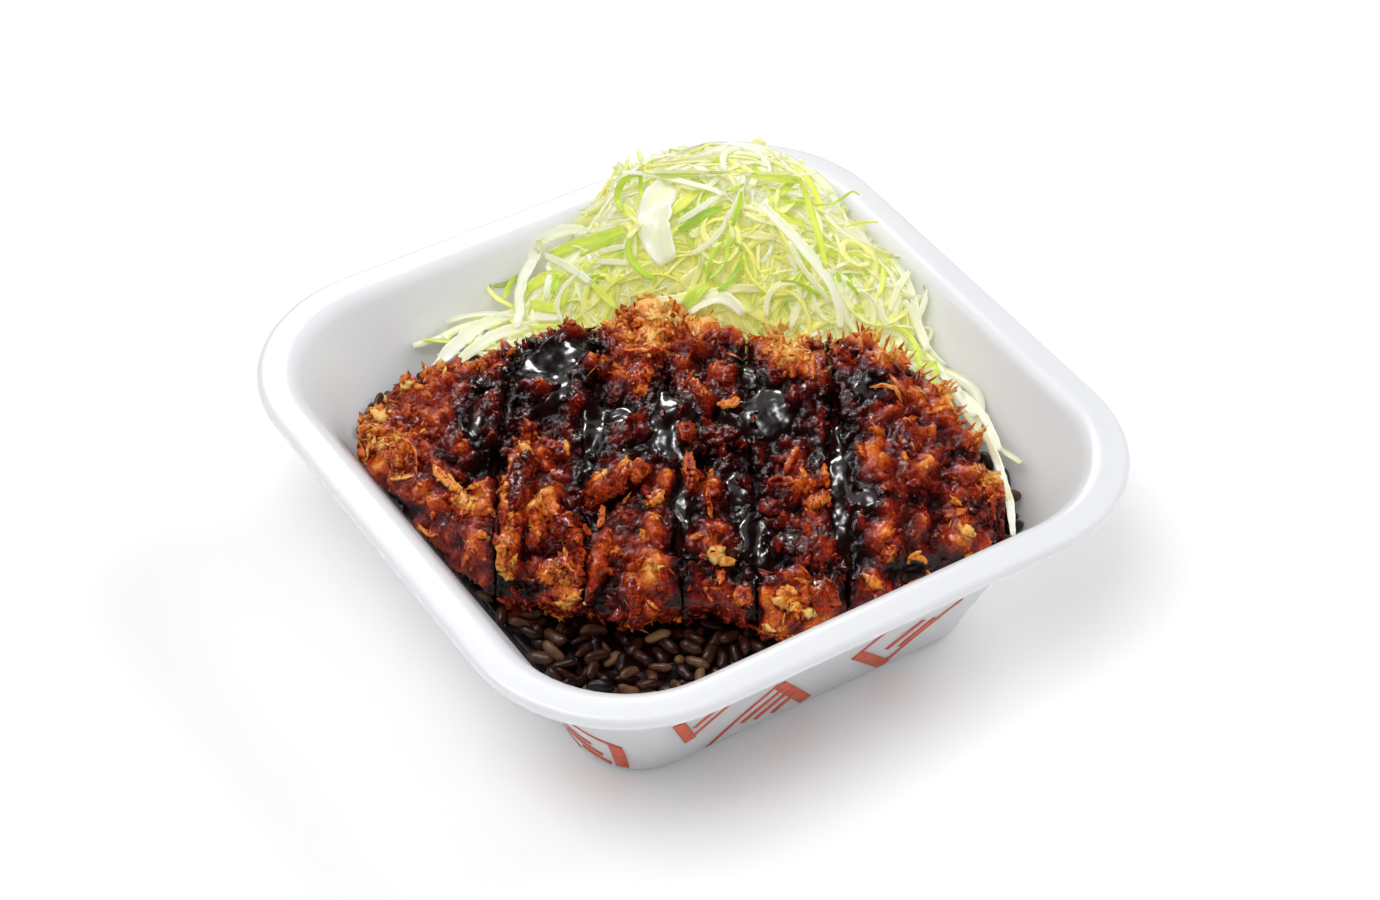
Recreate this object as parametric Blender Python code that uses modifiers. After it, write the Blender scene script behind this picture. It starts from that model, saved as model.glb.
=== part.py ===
"""Square foam takeaway bowl of rice, shredded cabbage and a breaded pork cutlet in six slices.

Metres, +Z up. The origin is the middle of the bowl's underside. The bowl's four walls
face +X, -X, +Y and -Y. The cutlet lies across the bowl from the left-hand corner
(-X, +Y) to the right-hand corner (+X, -Y), the cabbage is heaped in the far corner
(+X, +Y), and sauced rice shows in the near corner (-X, -Y).
"""

import math
import random

import bmesh
import bpy
from mathutils import Matrix, Vector, noise

MM = 0.001

# Bowl
RIM_HALF = 85.0 * MM
RIM_CORNER = 38.4 * MM
BOWL_HEIGHT = 54.0 * MM
LIP_THICKNESS = 3.3 * MM
FLANGE_WIDTH = 5.9 * MM
CROWN_RADIUS = 5.0 * MM
WALL_FOOT = 51.0 * MM
WALL_LEAN = 0.3455
WALL_FLARE = 2.26
WALL_THICKNESS = 2.3 * MM
FLOOR_THICKNESS = 2.4 * MM
FOOT_RADIUS = 3.0 * MM
COVE_RADIUS = 8.0 * MM
FOLD_RADIUS = 3.2 * MM
OUTER_STATIONS = (14.0 * MM, 25.0 * MM, 36.0 * MM)
INNER_STATIONS = (40.0 * MM, 29.0 * MM, 18.0 * MM)
CORNER_TAPER = 0.6
CORNER_SEGMENTS = 7

# Rice
RICE_LEVEL = 30.2 * MM
RICE_RISE = 8.0 * MM
RICE_SHOULDER = 2.2 * MM
LUMP_HEIGHT = 0.5 * MM
LUMP_SPAN = 6.0 * MM
GRAIN_LENGTH = 6.4 * MM
GRAIN_WIDTH = 2.9 * MM
GRAIN_SPACING = 3.9 * MM

# Cutlet
LAY_ANGLE = math.radians(-33.2)
CUTLET_FRONT_Z = 32.2 * MM
CUTLET_PITCH = 0.13
CUTLET_THICKNESS = 17.0 * MM
CUTLET_DROOP = 3.0 * MM
CUTLET_FRONT = -50.0 * MM
END_ROUND = 5.0 * MM
SLICE_GAP = 0.9 * MM
CUT_SHOULDER = 1.1 * MM
BULGE_HEIGHT = 3.2 * MM
BULGE_SPAN = 18.0 * MM
CRAG_HEIGHT = 1.5 * MM
CRAG_SPAN = 5.2 * MM
FLAKE_SHARE = 0.14
FLAKE_HEIGHTS = (0.8 * MM, 2.2 * MM)
CRUST_REACH = 1.4 * MM
WALL_KEEP = 1.2 * MM

# Cabbage
HEAP_CENTRE = (8.0 * MM, 60.0 * MM)
HEAP_TOP = 71.5 * MM
HEAP_LEFT = 56.0 * MM
HEAP_RIGHT = 66.0 * MM
HEAP_FRONT = 34.0 * MM
HEAP_BACK = 46.0 * MM
HEAP_FOOT = 40.0 * MM
SHRED_COUNT = 44
SHRED_SPACING = 3.6 * MM
SHRED_THICKNESS = 1.0 * MM
SHRED_WIDTHS = (1.5 * MM, 3.2 * MM)
SHRED_STEPS = (5.5 * MM, 8.5 * MM)
SHRED_ARCHES = (2.5 * MM, 7.0 * MM)
OVER_CUTLET_Z = 63.0 * MM

CLEARANCE = 0.5 * MM

# The cutlet's outline in plan, seen along its length: (along, front edge, back edge) in mm.
CUTLET_PLAN = (
    (-78.0, -8.0, 3.0),
    (-73.0, -16.0, 9.0),
    (-64.0, -27.5, 14.0),
    (-53.0, -39.0, 18.0),
    (-43.0, -49.0, 23.5),
    (-32.0, -52.0, 27.0),
    (-22.0, -54.5, 28.5),
    (-12.0, -57.0, 34.0),
    (-2.0, -54.5, 33.5),
    (6.0, -54.0, 30.0),
    (15.0, -57.5, 26.5),
    (25.0, -61.0, 24.0),
    (34.5, -58.0, 25.0),
    (45.0, -52.0, 26.5),
    (56.0, -45.0, 20.0),
    (66.0, -38.0, 7.0),
    (71.0, -33.0, -5.0),
    (74.0, -27.0, -13.0),
)

# Where the cutlet is cut: (along at the front, along at the back) in mm.
CUTS = ((-44.0, -42.0), (-23.5, -21.0), (-0.5, -7.0), (16.5, 12.5), (36.0, 32.0))


def clear_scene():
    for item in list(bpy.data.objects):
        bpy.data.objects.remove(item, do_unlink=True)


def new_collection(name):
    group = bpy.data.collections.new(name)
    bpy.context.scene.collection.children.link(group)
    return group


def material(name, colour, roughness, metallic=0.0):
    mat = bpy.data.materials.new(name)
    mat.use_nodes = True
    shader = mat.node_tree.nodes["Principled BSDF"]
    shader.inputs["Base Color"].default_value = (*colour, 1.0)
    shader.inputs["Roughness"].default_value = roughness
    shader.inputs["Metallic"].default_value = metallic
    mat.diffuse_color = (*colour, 1.0)
    return mat


def finish_mesh(bm, name, group, mat):
    bmesh.ops.recalc_face_normals(bm, faces=bm.faces)
    mesh = bpy.data.meshes.new(name)
    bm.to_mesh(mesh)
    bm.free()
    obj = bpy.data.objects.new(name, mesh)
    obj.data.materials.append(mat)
    group.objects.link(obj)
    return obj


def lerp(a, b, t):
    return a + (b - a) * t


def smooth_step(low, high, value):
    t = min(1.0, max(0.0, (value - low) / (high - low)))
    return t * t * (3.0 - 2.0 * t)


def to_plan(along, across):
    """Cutlet coordinates (along its length, across it towards the cabbage) to X and Y."""
    c, s = math.cos(LAY_ANGLE), math.sin(LAY_ANGLE)
    return along * c - across * s, along * s + across * c


def from_plan(x, y):
    c, s = math.cos(LAY_ANGLE), math.sin(LAY_ANGLE)
    return x * c + y * s, -x * s + y * c


# Bowl


def inner_half(z):
    """Half width between the inner walls at height z: they lean out, a little more at the top."""
    return WALL_FOOT + WALL_LEAN * z + WALL_FLARE * z * z


def wall_angle(z):
    """Angle of the wall from the horizontal at height z, in degrees."""
    return math.degrees(math.atan2(1.0, WALL_LEAN + 2.0 * WALL_FLARE * z))


def outer_half(z):
    return inner_half(z) + WALL_THICKNESS / math.sin(math.radians(wall_angle(z)))


def corner_radius(half):
    """Plan corner radius of the section whose half width is half."""
    crown = RIM_HALF - FLANGE_WIDTH
    if half >= crown:
        return half - (RIM_HALF - RIM_CORNER)
    return crown - (RIM_HALF - RIM_CORNER) - CORNER_TAPER * (crown - half)


def rounded_square(half, z, segments):
    """Points of a square section with round corners, anticlockwise from the +X side."""
    radius = corner_radius(half)
    centre = half - radius
    points = []
    for sx, sy, start in ((1, 1, 0), (-1, 1, 90), (-1, -1, 180), (1, -1, 270)):
        for k in range(segments + 1):
            angle = math.radians(start + 90.0 * k / segments)
            x = sx * centre + radius * math.cos(angle)
            y = sy * centre + radius * math.sin(angle)
            points.append(Vector((x, y, z)))
    return points


def loft(bm, rings):
    """Bridge each closed ring of points to the next and cap both ends."""
    loops = [[bm.verts.new(p) for p in ring] for ring in rings]
    for low, high in zip(loops, loops[1:]):
        count = len(low)
        for i in range(count):
            j = (i + 1) % count
            bm.faces.new((low[i], low[j], high[j], high[i]))
    bm.faces.new(list(reversed(loops[0])))
    bm.faces.new(loops[-1])


def arc(cx, cz, radius, start, end, steps):
    points = []
    for k in range(steps + 1):
        angle = math.radians(lerp(start, end, k / steps))
        points.append((cx + radius * math.cos(angle), cz + radius * math.sin(angle)))
    return points


def bowl_profile():
    """Half section of the bowl, from the underside out over the rim and down to the floor."""
    low = wall_angle(0.0)
    foot_half = outer_half(0.0) - FOOT_RADIUS * math.tan(math.radians(low / 2.0))
    profile = arc(foot_half, FOOT_RADIUS, FOOT_RADIUS, -90.0, low - 90.0, 3)
    for z in OUTER_STATIONS:
        profile.append((outer_half(z), z))
    under = BOWL_HEIGHT - LIP_THICKNESS
    high = wall_angle(under)
    fold_half = outer_half(under) + FOLD_RADIUS * math.tan(math.radians(high / 2.0))
    profile += arc(fold_half, under - FOLD_RADIUS, FOLD_RADIUS, 90.0 + high, 90.0, 3)
    bead = LIP_THICKNESS / 2.0
    profile += arc(RIM_HALF - bead, BOWL_HEIGHT - bead, bead, -90.0, 90.0, 4)
    crown_half = RIM_HALF - FLANGE_WIDTH
    profile += arc(crown_half, BOWL_HEIGHT - CROWN_RADIUS, CROWN_RADIUS, 90.0, 90.0 + high, 3)
    for z in INNER_STATIONS:
        profile.append((inner_half(z), z))
    profile += floor_cove(3)
    return profile


def floor_cove(steps):
    """Round inner corner between the wall and the floor, from the wall down."""
    low = wall_angle(FLOOR_THICKNESS)
    half = inner_half(FLOOR_THICKNESS) - COVE_RADIUS * math.tan(math.radians(low / 2.0))
    return arc(half, FLOOR_THICKNESS + COVE_RADIUS, COVE_RADIUS, low - 90.0, -90.0, steps)


def make_bowl(group, mat):
    bm = bmesh.new()
    loft(bm, [rounded_square(half, z, CORNER_SEGMENTS) for half, z in bowl_profile()])
    bowl = finish_mesh(bm, "bowl", group, mat)
    bowl.data.shade_smooth()
    bowl.data.set_sharp_from_angle(angle=math.radians(45.0))
    return bowl


def wall_reach(x, y, z):
    """How far (x, y) is inside the bowl's inner wall at height z; negative outside."""
    half = inner_half(z)
    radius = corner_radius(half)
    centre = half - radius
    dx, dy = abs(x) - centre, abs(y) - centre
    if dx > 0.0 and dy > 0.0:
        return radius - math.hypot(dx, dy)
    return half - max(abs(x), abs(y))


# Cutlet


def plan_edges(along):
    """Front and back edge of the cutlet at a station along it."""
    pos = along / MM
    table = CUTLET_PLAN
    if pos <= table[0][0]:
        return table[0][1] * MM, table[0][2] * MM
    for (a0, f0, b0), (a1, f1, b1) in zip(table, table[1:]):
        if pos <= a1:
            t = (pos - a0) / (a1 - a0)
            return lerp(f0, f1, t) * MM, lerp(b0, b1, t) * MM
    return table[-1][1] * MM, table[-1][2] * MM


def inside_cutlet(along, across, margin):
    first, last = CUTLET_PLAN[0][0] * MM, CUTLET_PLAN[-1][0] * MM
    if along < first - margin or along > last + margin:
        return False
    front, back = plan_edges(along)
    return front - margin < across < back + margin


def cutlet_underside(along, across):
    """Lower face: it rises towards the cabbage and droops a little at both ends."""
    droop = CUTLET_DROOP * min(1.0, abs(along / (75.0 * MM))) ** 2
    return CUTLET_FRONT_Z + CUTLET_PITCH * max(0.0, across - CUTLET_FRONT) - droop


def cut_line(index, across):
    """Position along the cutlet of one cut, at a place across it."""
    front, back = CUTS[index]
    t = (across - CUTLET_FRONT) / (85.0 * MM)
    wave = 0.7 * math.sin(across / MM * 0.11 + index * 1.7)
    return (lerp(front, back, t) + wave) * MM


def slice_cage(cells):
    """A closed box from -1 to 1 on each axis, cut into cells along its three axes."""
    bm = bmesh.new()
    bmesh.ops.create_cube(bm, size=2.0)
    for axis, count in enumerate(cells):
        normal = Vector((0.0, 0.0, 0.0))
        normal[axis] = 1.0
        for k in range(1, count):
            level = normal * lerp(-1.0, 1.0, k / count)
            geom = bm.verts[:] + bm.edges[:] + bm.faces[:]
            bmesh.ops.bisect_plane(bm, geom=geom, plane_co=level, plane_no=normal)
    return bm


def slice_bulge(along, across):
    """Uneven top of the cutlet, the same for both sides of a cut."""
    spot = Vector((along, across, 0.0)) / BULGE_SPAN
    return BULGE_HEIGHT * noise.noise(spot + Vector((3.1, 7.7, 0.4)))


def slice_span(index, across):
    """Low and high end of a slice along the cutlet, at a place across it."""
    low = CUTLET_PLAN[0][0] * MM
    high = CUTLET_PLAN[-1][0] * MM
    if index > 0:
        low = cut_line(index - 1, across) + SLICE_GAP / 2.0
    if index < len(CUTS):
        high = cut_line(index, across) - SLICE_GAP / 2.0
    return low, high


def place_slice_point(a, b, c, index):
    """Map a cage point to the slice: a along, b across, c up, each from -1 to 1."""
    last = len(CUTS)
    t = (a + 1.0) / 2.0
    round_b = b * math.sqrt(1.0 - 0.26 * c * c)
    round_c = c * math.sqrt(1.0 - 0.40 * b ** 4)
    front, back = plan_edges(lerp(*slice_span(index, CUTLET_FRONT), t))
    across = lerp(front, back, (round_b + 1.0) / 2.0)
    low, high = slice_span(index, across)
    shoulder = CUT_SHOULDER * max(0.0, c) ** 4
    tip = END_ROUND * (0.55 * c * c + 0.45 * b * b)
    low += tip if index == 0 else shoulder
    high -= tip if index == last else shoulder
    along = lerp(low, high, t)
    free = {0: 1.0 - t, last: t}.get(index, 0.0)
    thick = CUTLET_THICKNESS * (1.0 - 0.32 * free ** 3)
    z = cutlet_underside(along, across) + thick * (1.0 + round_c) / 2.0
    if c > 0.0:
        z += slice_bulge(along, across) * c
    return along, across, z


def crag(vert, rng):
    """How far the crust stands out at a vertex: lumps, with a sharp flake here and there."""
    spot = vert.co / CRAG_SPAN
    push = CRAG_HEIGHT * (noise.noise(spot) + 0.6 * noise.noise(spot * 2.3))
    if rng.random() < FLAKE_SHARE:
        push += rng.uniform(*FLAKE_HEIGHTS)
    along, across = from_plan(vert.co.x, vert.co.y)
    tip = smooth_step(60.0 * MM, 74.0 * MM, abs(along))
    return push * (1.0 - 0.7 * tip)


def hold_in_place(spot, index):
    """Keep a crust point on its own side of the cuts, in the outline and off the walls."""
    along, across = from_plan(spot.x, spot.y)
    low, high = slice_span(index, across)
    along = min(max(along, low), high)
    front, back = plan_edges(along)
    across = min(max(across, front - CRUST_REACH), back + CRUST_REACH - CLEARANCE)
    x, y = to_plan(along, across)
    z = max(spot.z, cutlet_underside(along, across))
    for _ in range(2):
        pull = max(0.0, WALL_KEEP - wall_reach(x, y, z)) / math.hypot(x, y)
        x -= pull * x
        y -= pull * y
    return Vector((x, y, z))


def make_slice(index, group, mat):
    wide = index in (0, len(CUTS))
    bm = slice_cage((7 if wide else 4, 13, 4))
    crusted = []
    for vert in bm.verts:
        a, b, c = vert.co
        cut_side = (a < -0.99 and index > 0) or (a > 0.99 and index < len(CUTS))
        along, across, z = place_slice_point(a, b, c, index)
        vert.co = (*to_plan(along, across), z)
        if not cut_side and c > -0.99:
            crusted.append(vert)
    bm.normal_update()
    rng = random.Random(40 + index)
    moves = [vert.normal * crag(vert, rng) for vert in crusted]
    for vert, move in zip(crusted, moves):
        vert.co += move
    for vert in bm.verts:
        vert.co = hold_in_place(vert.co, index)
    return finish_mesh(bm, f"cutlet_slice_{index + 1}", group, mat)


# Rice


def rice_surface(x, y):
    """Top of the packed rice: level at the walls, raised under the cutlet and the cabbage."""
    along, across = from_plan(x, y)
    spread = math.hypot(along / (62.0 * MM), (across - 14.0 * MM) / (54.0 * MM))
    raised = RICE_LEVEL + RICE_RISE * (1.0 - smooth_step(0.25, 1.0, spread))
    return min(raised, cutlet_underside(along, across) - CLEARANCE)


def lump(x, y):
    return LUMP_HEIGHT * noise.noise(Vector((x, y, 0.0)) / LUMP_SPAN)


def make_rice_bed(group, mat):
    segments = 4
    rings = []
    side = CLEARANCE * 1.2
    for half, z in reversed(floor_cove(2)):
        rings.append(rounded_square(half - side, z + CLEARANCE, segments))
    shoulder = RICE_LEVEL - RICE_SHOULDER
    rings.append(rounded_square(inner_half(shoulder) - side, shoulder, segments))
    top_half = inner_half(RICE_LEVEL) - 0.8 * MM
    edge = rounded_square(top_half, RICE_LEVEL, segments)
    for share in (1.0, 0.86, 0.7, 0.54, 0.38, 0.22, 0.08):
        ring = []
        for p in edge:
            x, y = p.x * share, p.y * share
            ring.append(Vector((x, y, rice_surface(x, y) + lump(x, y) - LUMP_HEIGHT)))
        rings.append(ring)
    bm = bmesh.new()
    loft(bm, rings)
    return finish_mesh(bm, "rice", group, mat)


def make_grain(name, place, group, mat):
    bm = bmesh.new()
    bmesh.ops.create_uvsphere(bm, u_segments=5, v_segments=4, radius=1.0, matrix=place)
    return finish_mesh(bm, name, group, mat)


def grain_places(rng):
    """Jittered rows of grains on the rice that shows in front of the cutlet."""
    places = []
    reach = int(RIM_HALF / GRAIN_SPACING)
    for i in range(-reach, reach):
        for j in range(-reach, reach):
            x = (i + rng.uniform(-0.4, 0.4)) * GRAIN_SPACING
            y = (j + rng.uniform(-0.4, 0.4)) * GRAIN_SPACING
            heading = rng.uniform(0.0, math.pi)
            pitch = rng.gauss(0.0, 0.28)
            lift = rng.uniform(0.1, 0.9) * MM
            size = rng.uniform(0.88, 1.1)
            along, across = from_plan(x, y)
            if across > -18.0 * MM or inside_cutlet(along, across, -3.0 * MM):
                continue
            z = rice_surface(x, y) + lift
            half = Vector((GRAIN_WIDTH * 0.9, GRAIN_WIDTH, GRAIN_LENGTH)) * (size / 2.0)
            turn = Matrix.Rotation(heading, 4, "Z") @ Matrix.Rotation(math.pi / 2.0 + pitch, 4, "Y")
            place = Matrix.Translation((x, y, z)) @ turn @ Matrix.Diagonal((*half, 1.0))
            tip = turn @ Vector((0.0, 0.0, half.z))
            if grain_is_clear(Vector((x, y, z)), tip, half.x):
                places.append(place)
    return places


def grain_is_clear(middle, tip, thick):
    """A grain stays inside the bowl and under the cutlet."""
    for end in (-1.0, -0.5, 0.0, 0.5, 1.0):
        spot = middle + tip * end
        if wall_reach(spot.x, spot.y, spot.z) < 2.3 * MM:
            return False
        along, across = from_plan(spot.x, spot.y)
        top = spot.z + thick * math.sqrt(max(0.0, 1.0 - end * end))
        room = cutlet_underside(along, across) - CLEARANCE
        if inside_cutlet(along, across, -4.5 * MM):
            if top > room:
                return False
        elif inside_cutlet(along, across, CRUST_REACH) and top > room + 1.6 * MM:
            return False
    return True


# Cabbage


def heap_reach(angle, z):
    """How far the heap may run from its middle in one direction at height z."""
    step = 1.0 * MM
    dist = 10.0 * MM
    while dist < 90.0 * MM:
        along = HEAP_CENTRE[0] + dist * math.cos(angle)
        across = HEAP_CENTRE[1] + dist * math.sin(angle)
        x, y = to_plan(along, across)
        if wall_reach(x, y, z) < 3.0 * MM:
            break
        if inside_cutlet(along, across, CRUST_REACH + 1.0 * MM):
            break
        dist += step
    return dist


def heap_limit(angle):
    """Reach of the heap's foot: long along the cutlet, shorter across it."""
    side = HEAP_RIGHT if math.cos(angle) > 0.0 else HEAP_LEFT
    depth = HEAP_BACK if math.sin(angle) > 0.0 else HEAP_FRONT
    return 1.0 / math.hypot(math.cos(angle) / side, math.sin(angle) / depth)


def heap_height(x, y):
    """Top of the heap's packed middle above the bowl's underside."""
    along, across = from_plan(x, y)
    along -= HEAP_CENTRE[0]
    across -= HEAP_CENTRE[1]
    angle = math.atan2(across, along)
    share = min(1.0, math.hypot(along, across) / heap_limit(angle))
    dome = (1.0 - share * share) ** 0.85
    rough = 1.5 * MM * noise.noise(Vector((x, y, 0.0)) / (11.0 * MM))
    return HEAP_FOOT + (HEAP_TOP - HEAP_FOOT) * dome + rough


def make_heap_core(group, mat):
    count = 22
    rings = []
    for share, level in ((0.35, 0), (0.8, 0), (1.0, 0), (1.0, 1), (0.86, 2), (0.68, 2), (0.5, 2),
                         (0.32, 2), (0.15, 2)):
        ring = []
        for k in range(count):
            angle = math.tau * k / count
            low = min(heap_reach(angle, RICE_LEVEL), heap_limit(angle))
            high = min(heap_reach(angle, HEAP_FOOT), heap_limit(angle))
            dist = share * (low if level == 0 else high)
            along = HEAP_CENTRE[0] + dist * math.cos(angle)
            across = HEAP_CENTRE[1] + dist * math.sin(angle)
            x, y = to_plan(along, across)
            if level == 0:
                z = rice_surface(x, y) + 1.0 * MM
            elif level == 1:
                z = HEAP_FOOT + 3.0 * MM
            else:
                z = heap_height(x, y)
            ring.append(Vector((x, y, z)))
        rings.append(ring)
    bm = bmesh.new()
    loft(bm, rings)
    return finish_mesh(bm, "cabbage", group, mat)


def shred_is_clear(spot, width):
    along, across = from_plan(spot.x, spot.y)
    if wall_reach(spot.x, spot.y, min(spot.z, BOWL_HEIGHT - 1.0 * MM)) < width / 2.0 + 1.5 * MM:
        return False
    if spot.z < OVER_CUTLET_Z and inside_cutlet(along, across, width / 2.0 + CRUST_REACH):
        return False
    return spot.z > rice_surface(spot.x, spot.y) + 3.0 * MM


def shred_path(rng):
    """One shred: it starts on the heap and bends as it follows the heap's slope."""
    angle = rng.uniform(0.0, math.tau)
    dist = math.sqrt(rng.random()) * 0.95 * heap_limit(angle)
    along = HEAP_CENTRE[0] + dist * math.cos(angle)
    across = HEAP_CENTRE[1] + dist * math.sin(angle)
    heading = rng.uniform(0.0, math.tau)
    bend = rng.uniform(-0.32, 0.32)
    arch = rng.uniform(*SHRED_ARCHES)
    steps = rng.randint(4, 5)
    length = rng.uniform(*SHRED_STEPS)
    wave = rng.uniform(0.0, math.tau)
    loose = rng.random() < 0.3
    points = []
    for k in range(steps + 1):
        x, y = to_plan(along, across)
        t = k / steps
        rise = math.sin(math.pi * t * 0.6) if loose else math.sin(math.pi * t)
        points.append(Vector((x, y, heap_height(x, y) + arch * rise - 0.8 * MM)))
        along += length * math.cos(heading)
        across += length * math.sin(heading)
        heading += bend + 0.18 * math.sin(wave + 5.0 * t)
    return points


def crowded(points, placed):
    """True when a new shred would run on top of others for much of its length."""
    near = 0
    for spot in points:
        if any((spot - other).length < SHRED_SPACING for other in placed):
            near += 1
    return near > 1


def make_shred(name, points, width, group, mat):
    """A flat strip along the points, solidified to its thickness."""
    bm = bmesh.new()
    count = len(points) - 1
    bmesh.ops.create_grid(bm, x_segments=count, y_segments=1, size=1.0)
    for vert in bm.verts:
        station = (vert.co.x + 1.0) / 2.0 * count
        side = vert.co.y
        k = min(count, max(0, round(station)))
        ahead = points[min(count, k + 1)] - points[max(0, k - 1)]
        ahead.normalize()
        across = ahead.cross(Vector((0.0, 0.0, 1.0)))
        across.normalize()
        taper = 0.45 if k in (0, count) else 1.0
        vert.co = points[k] + across * (side * width / 2.0 * taper)
    strip = finish_mesh(bm, name, group, mat)
    solid = strip.modifiers.new("Solidify", "SOLIDIFY")
    solid.thickness = SHRED_THICKNESS
    solid.offset = 0.0
    strip.modifiers.new("Triangulate", "TRIANGULATE")
    return strip


# Joining


def join_pieces(core, pieces):
    """Union the core with every piece of a collection, then keep the one joined body."""
    core.modifiers.new("Triangulate", "TRIANGULATE")
    union = core.modifiers.new("Join", "BOOLEAN")
    union.operation = "UNION"
    union.operand_type = "COLLECTION"
    union.collection = pieces
    union.solver = "EXACT"
    union.use_self = True
    depsgraph = bpy.context.evaluated_depsgraph_get()
    joined = bpy.data.meshes.new_from_object(core.evaluated_get(depsgraph))
    core.modifiers.clear()
    old = core.data
    core.data = joined
    bpy.data.meshes.remove(old)
    for item in list(pieces.objects):
        bpy.data.objects.remove(item, do_unlink=True)
    bpy.data.collections.remove(pieces)
    keep_main_body(core)


def keep_main_body(obj):
    bm = bmesh.new()
    bm.from_mesh(obj.data)
    bmesh.ops.triangulate(bm, faces=bm.faces)
    seen = set()
    bodies = []
    for face in bm.faces:
        if face in seen:
            continue
        body = [face]
        seen.add(face)
        for item in body:
            for edge in item.edges:
                for other in edge.link_faces:
                    if other not in seen:
                        seen.add(other)
                        body.append(other)
        bodies.append(body)
    bodies.sort(key=len, reverse=True)
    for body in bodies[1:]:
        bmesh.ops.delete(bm, geom=body, context="FACES")
    bm.to_mesh(obj.data)
    bm.free()


def make_rice(group, pieces, mat):
    bed = make_rice_bed(group, mat)
    rng = random.Random(7)
    for number, place in enumerate(grain_places(rng)):
        make_grain(f"grain_{number}", place, pieces, mat)
    join_pieces(bed, pieces)
    return bed


def make_cabbage(group, pieces, mat):
    core = make_heap_core(group, mat)
    rng = random.Random(19)
    placed = []
    made = 0
    while made < SHRED_COUNT:
        width = rng.uniform(*SHRED_WIDTHS)
        points = shred_path(rng)
        clear = 0
        while clear < len(points) and shred_is_clear(points[clear], width):
            clear += 1
        if clear < 4 or crowded(points[:clear], placed):
            continue
        placed += points[:clear]
        make_shred(f"shred_{made}", points[:clear], width, pieces, mat)
        made += 1
    join_pieces(core, pieces)
    return core


def main():
    clear_scene()
    dish = new_collection("cutlet_rice_bowl")
    grains = new_collection("rice_grains")
    shreds = new_collection("cabbage_shreds")
    foam = material("white_foam", (0.86, 0.86, 0.87), 0.42)
    crust = material("sauced_crust", (0.16, 0.035, 0.012), 0.38)
    rice = material("sauced_rice", (0.07, 0.025, 0.014), 0.35)
    leaf = material("cabbage_leaf", (0.68, 0.80, 0.26), 0.40)
    make_bowl(dish, foam)
    make_rice(dish, grains, rice)
    make_cabbage(dish, shreds, leaf)
    for index in range(len(CUTS) + 1):
        make_slice(index, dish, crust)


main()
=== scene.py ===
"""Looks of a square foam takeaway bowl of sauced rice, shredded cabbage and a breaded pork cutlet.

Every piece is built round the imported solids, in metres, with +Z up. The cutlet has coordinates of
its own: along it from left to right, and across it from the near corner towards the cabbage.
"""

import math

import bpy
import numpy as np
from mathutils import Matrix, Vector, noise


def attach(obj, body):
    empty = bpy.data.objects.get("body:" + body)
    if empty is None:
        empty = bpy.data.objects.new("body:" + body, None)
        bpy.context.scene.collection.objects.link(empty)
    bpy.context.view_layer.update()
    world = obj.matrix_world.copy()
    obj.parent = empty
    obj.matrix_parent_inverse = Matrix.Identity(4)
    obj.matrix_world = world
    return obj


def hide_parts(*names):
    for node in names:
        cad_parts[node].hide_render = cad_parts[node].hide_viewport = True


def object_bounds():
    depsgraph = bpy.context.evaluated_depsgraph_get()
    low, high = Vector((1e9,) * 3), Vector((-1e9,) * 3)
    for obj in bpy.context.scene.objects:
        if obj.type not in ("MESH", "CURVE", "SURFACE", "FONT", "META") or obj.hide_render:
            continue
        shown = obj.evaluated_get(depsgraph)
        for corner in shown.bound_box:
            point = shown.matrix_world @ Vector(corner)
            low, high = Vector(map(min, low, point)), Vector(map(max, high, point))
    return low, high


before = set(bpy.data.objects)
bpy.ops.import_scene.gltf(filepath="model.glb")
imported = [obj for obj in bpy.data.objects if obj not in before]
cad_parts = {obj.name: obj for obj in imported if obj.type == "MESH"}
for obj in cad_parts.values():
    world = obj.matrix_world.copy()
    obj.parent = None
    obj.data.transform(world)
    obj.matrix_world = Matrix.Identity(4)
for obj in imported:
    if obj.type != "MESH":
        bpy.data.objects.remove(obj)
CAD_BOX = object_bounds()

MM = 0.001

# Bowl
RIM_HALF = 85.0 * MM
RIM_CORNER = 38.4 * MM
BOWL_HEIGHT = 54.0 * MM
LIP_THICKNESS = 3.3 * MM
FLANGE_WIDTH = 5.9 * MM
CROWN_RADIUS = 5.0 * MM
WALL_FOOT = 51.0 * MM
WALL_LEAN = 0.3455
WALL_FLARE = 2.26
WALL_THICKNESS = 2.3 * MM
FLOOR_THICKNESS = 2.4 * MM
FOOT_RADIUS = 3.0 * MM
COVE_RADIUS = 8.0 * MM
MERGE_DISTANCE = 0.15 * MM
FOLD_RADIUS = 3.2 * MM
CORNER_TAPER = 0.6

# Rice
RICE_LEVEL = 30.2 * MM
RICE_RISE = 8.0 * MM
GRAIN_LENGTH = 6.6 * MM
GRAIN_WIDTH = 2.7 * MM
GRAIN_COUNT = 1900
GRAIN_BEADS = 5
GRAIN_SETTLE = 0.86
GRAIN_PILE = 3.8 * MM

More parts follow.
